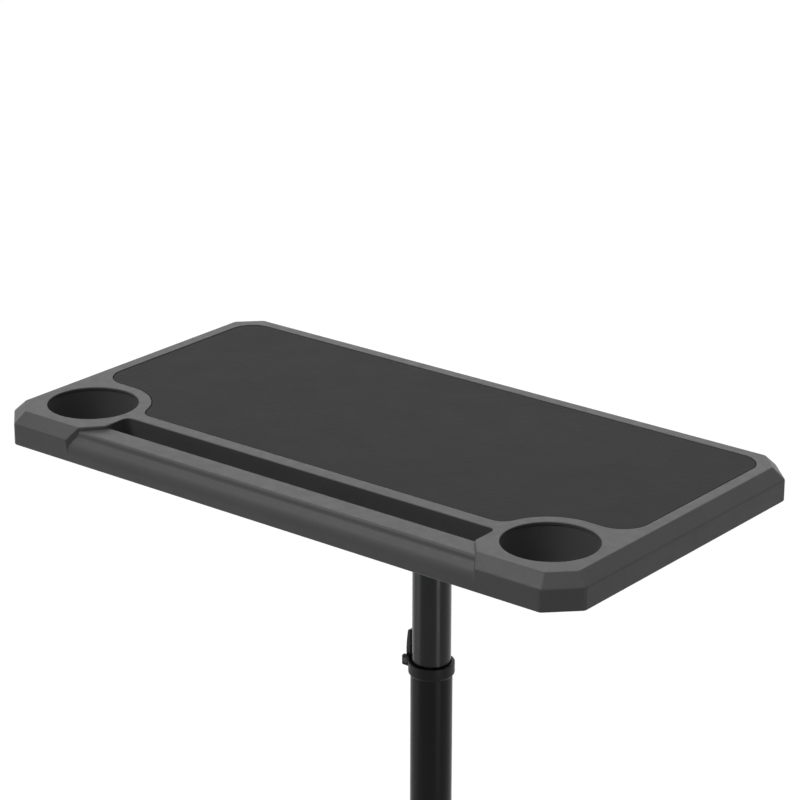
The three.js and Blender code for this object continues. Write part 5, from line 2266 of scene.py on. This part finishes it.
    def axle(self) -> Piece:
        """The axle: a rivet with a domed head outside each leg.

        Returns:
            The axle.
        """
        end, head = half_span(f"caster_axle_{self.tag}"), self.axle_head
        seat = end - self.axle_head_height
        half = [
            (self.axle_radius, seat), (head, seat),
            (head, seat + self.axle_head_edge, 0.4 * MM),
            (self.axle_head_flat, end, 0.8 * MM), (0, end),
        ]
        far = [(radius, -x, *soft) for radius, x, *soft in reversed(half)]
        return smoothed(self.on_axle(f"castor_axle_{self.tag}", [*far, *half], ROUND))

    def pedal(self) -> tuple[Piece, Piece]:
        """The brake pedal and the ribs on its tread.

        Returns:
            The pedal and its ribs.
        """
        low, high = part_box(f"brake_pedal_{self.side.word}")
        boss, shoe, shoe_drop = 3 * MM, 5 * MM, 3.4 * MM
        fall, thickness = 5 * MM, 3.4 * MM
        half = (self.fork_high.x - self.fork_low.x) / 2 - self.plate - self.gap
        pivot_y, pivot_z = low.y + boss, high.z - boss
        reach = high.y - pivot_y
        outline = rounded(
            [
                (0, boss, 1.5 * MM), (-boss, 0, boss), (0, -boss, boss / 2),
                (shoe, -shoe_drop, 0.5 * MM), (shoe + boss, -fall / 2, 0.5 * MM),
                (reach, -fall - thickness / 2, thickness / 3),
                (reach, -fall + thickness / 2, thickness / 3),
            ],
            6,
        )
        place = shift(self.axis[0], pivot_y, pivot_z)
        name = f"brake_arm_{self.side.word}"
        arm = soft_prism(name, outline, -half, half, 0.6 * MM, place @ ACROSS)
        end = (high.x - low.x) / 2
        carved(arm, Carve.JOIN, rod("trunnions", self.trunnion, -end, end, place @ TO_X))
        slope = (boss + fall - thickness / 2) / reach
        seats = []
        for k in range(self.tread_ribs):
            run = reach * (0.5 + 0.1 * k)
            seats.append(place @ Vector((0, run, boss - slope * run)))
        ribs = PATTERNS.ribs.run(
            f"brake_ribs_{self.side.word}",
            seats,
            Paint.TRAY,
            Length=2 * half - 2 * self.tread_rib_inset,
            Radius=self.tread_rib_radius,
            Direction=(1, 0, 0),
        )
        return smoothed(arm), ribs

    def build(self) -> None:
        """Makes the castor's pieces and hands them over."""
        tag = self.tag
        handed(self.stem(), "base", Paint.ZINC, f"caster_stem_{tag}")
        handed(self.fork(), f"castor_{tag}", Paint.PLASTIC, f"caster_fork_{tag}")
        handed(self.axle(), f"castor_{tag}", Paint.ZINC, f"caster_axle_{tag}")
        handed(self.tyre(), f"wheel_{tag}", Paint.TYRE, f"caster_wheel_{tag}")
        handed(self.core(), f"wheel_{tag}", Paint.HUB, f"caster_wheel_{tag}")
        handed(self.spokes(), f"wheel_{tag}", Paint.HUB)
        if self.place is Place.FRONT:
            arm, ribs = self.pedal()
            word = self.side.word
            handed(arm, f"brake_{word}", Paint.TRAY, f"brake_pedal_{word}")
            handed(ribs, f"brake_{word}", Paint.TRAY)


def dress_hidden_nodes() -> None:
    """Gives the frame's own nodes that stay in view their finish."""
    for node in ("glide_bush", "pressure_pad"):
        coated(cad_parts[node], Paint.PLASTIC)
        log.info("%s keeps its own solid", node)


# Studio


@dataclass(frozen=True)
class SoftLight:
    """Even light from one side, as from a large softbox far off."""

    name: str
    azimuth: float
    elevation: float
    spread: float
    level: float  # on a face turned to it, where 1 shows a colour as it is written

    def place(self) -> None:
        """Adds the lamp."""
        light = bpy.data.lights.new(self.name, "SUN")
        light.angle = math.radians(self.spread)
        light.energy = self.level * math.pi
        lamp = linked(self.name, light)
        away = Vector((0, 0, 1))
        away.rotate(Matrix.Rotation(QUARTER - math.radians(self.elevation), 4, "Y"))
        away.rotate(Matrix.Rotation(math.radians(self.azimuth), 4, "Z"))
        lamp.rotation_euler = away.to_track_quat("Z", "Y").to_euler()


@dataclass(frozen=True)
class StripLight:
    """A low upright panel that stands on the floor and draws a soft band on the tubes."""

    name: str
    azimuth: float
    width: float
    strength: float
    reach: float = 1.5
    bottom: float = 0.02
    top: float = 0.5

    def place(self) -> None:
        """Adds the lamp."""
        height = self.top - self.bottom
        light = bpy.data.lights.new(self.name, "AREA")
        light.shape = "RECTANGLE"
        light.size, light.size_y = self.width, height
        light.energy = self.strength * math.pi * self.width * height
        lamp = linked(self.name, light)
        angle = math.radians(self.azimuth)
        outwards = Vector((math.cos(angle), math.sin(angle), 0))
        lamp.location = outwards * self.reach + Vector((0, 0, (self.bottom + self.top) / 2))
        lamp.rotation_euler = outwards.to_track_quat("Z", "Y").to_euler()


@dataclass
class Studio:
    """Pale floor, soft light from above and the photograph's camera."""

    azimuth: float = math.radians(38.67)
    elevation: float = math.radians(20.27)
    roll: float = math.radians(0.09)
    place: tuple[float, float, float] = (1.5524, -1.9874, 1.9438)
    lens: float = 134.28
    sensor: float = 36.0
    floor_reach: float = 40.0
    floor_drop: float = 0.2 * MM
    floor_grey: float = 0.22
    floor_glow: float = 0.83
    fill: float = 0.08
    lamps: tuple[SoftLight | StripLight, ...] = (
        SoftLight("overhead", 0, 90, 90, 0.36),
        SoftLight("front_left", -122, 54, 30, 0.46),
        SoftLight("rear", 122, 22, 36, 0.055),
        StripLight("left_strip", -136, 0.8, 1.3),
        StripLight("right_strip", -14, 0.5, 3.2),
    )

    def camera(self) -> None:
        """Sets up the camera, which looks down on the tray from the rider's right."""
        lens = bpy.data.cameras.new("camera")
        lens.lens = self.lens
        lens.sensor_width = self.sensor
        camera = linked("camera", lens)
        camera.location = self.place
        round_desk = Matrix.Rotation(self.azimuth, 4, "Z")
        downwards = Matrix.Rotation(QUARTER - self.elevation, 4, "X")
        turn = round_desk @ downwards @ Matrix.Rotation(self.roll, 4, "Z")
        camera.rotation_euler = turn.to_euler()
        bpy.context.scene.camera = camera

    def seen_directly(self, sheet: NodeSheet) -> Socket:
        """1 for rays from the camera, from a gloss or through glass, and 0 for the rest.

        Args:
            sheet: the tree that needs it.

        Returns:
            The level.
        """
        path = sheet.add("ShaderNodeLightPath").outputs
        direct = sheet.maths("MAXIMUM", path["Is Camera Ray"], path["Is Glossy Ray"])
        return sheet.maths("MAXIMUM", direct, path["Is Transmission Ray"])

    def surroundings(self) -> None:
        """A white world where it is seen, and a dimmer even fill where it lights."""
        world = bpy.data.worlds.new("studio")
        world.use_nodes = True
        sheet = NodeSheet(world.node_tree)
        sheet.tree.nodes.clear()
        strength = sheet.ranged(self.seen_directly(sheet), self.fill, 1.0)
        light = sheet.add("ShaderNodeBackground", {"Color": (1, 1, 1, 1), "Strength": strength})
        sheet.add("ShaderNodeOutputWorld", {"Surface": light.outputs[0]})
        bpy.context.scene.world = world

    def floor(self) -> None:
        """A pale floor that shows white where it is seen and keeps the desk's shadow."""
        reach = self.floor_reach
        corners = [(-reach, -reach, 0), (reach, -reach, 0), (reach, reach, 0), (-reach, reach, 0)]
        mesh = bpy.data.meshes.new("floor")
        mesh.from_pydata(corners, [], [(0, 1, 2, 3)])
        floor = linked("floor", mesh)
        floor.location.z = -self.floor_drop
        sheet = Surface("studio_floor")
        sheet.set("Base Color", (self.floor_grey, self.floor_grey, self.floor_grey, 1))
        sheet.set("Roughness", 0.9)
        sheet.set("Specular IOR Level", 0.0)
        sheet.set("Emission Color", (1, 1, 1, 1))
        glow = sheet.ranged(self.seen_directly(sheet), 0.0, self.floor_glow)
        sheet.set("Emission Strength", glow)
        mesh.materials.append(sheet.material)

    def build(self) -> None:
        """Makes the studio."""
        bpy.context.scene.view_settings.view_transform = "Standard"
        self.camera()
        self.surroundings()
        self.floor()
        for lamp in self.lamps:
            lamp.place()


def main() -> None:
    """Builds the studio and the desk."""
    logging.basicConfig(level=logging.INFO, format="%(message)s")
    Studio().build()
    Tray().build()
    MountHead().build()
    Column().build()
    Clamp().build()
    WheeledBase().build()
    for side in Side:
        for place in Place:
            Castor(side, place).build()
    dress_hidden_nodes()


if __name__ == "__main__":
    main()
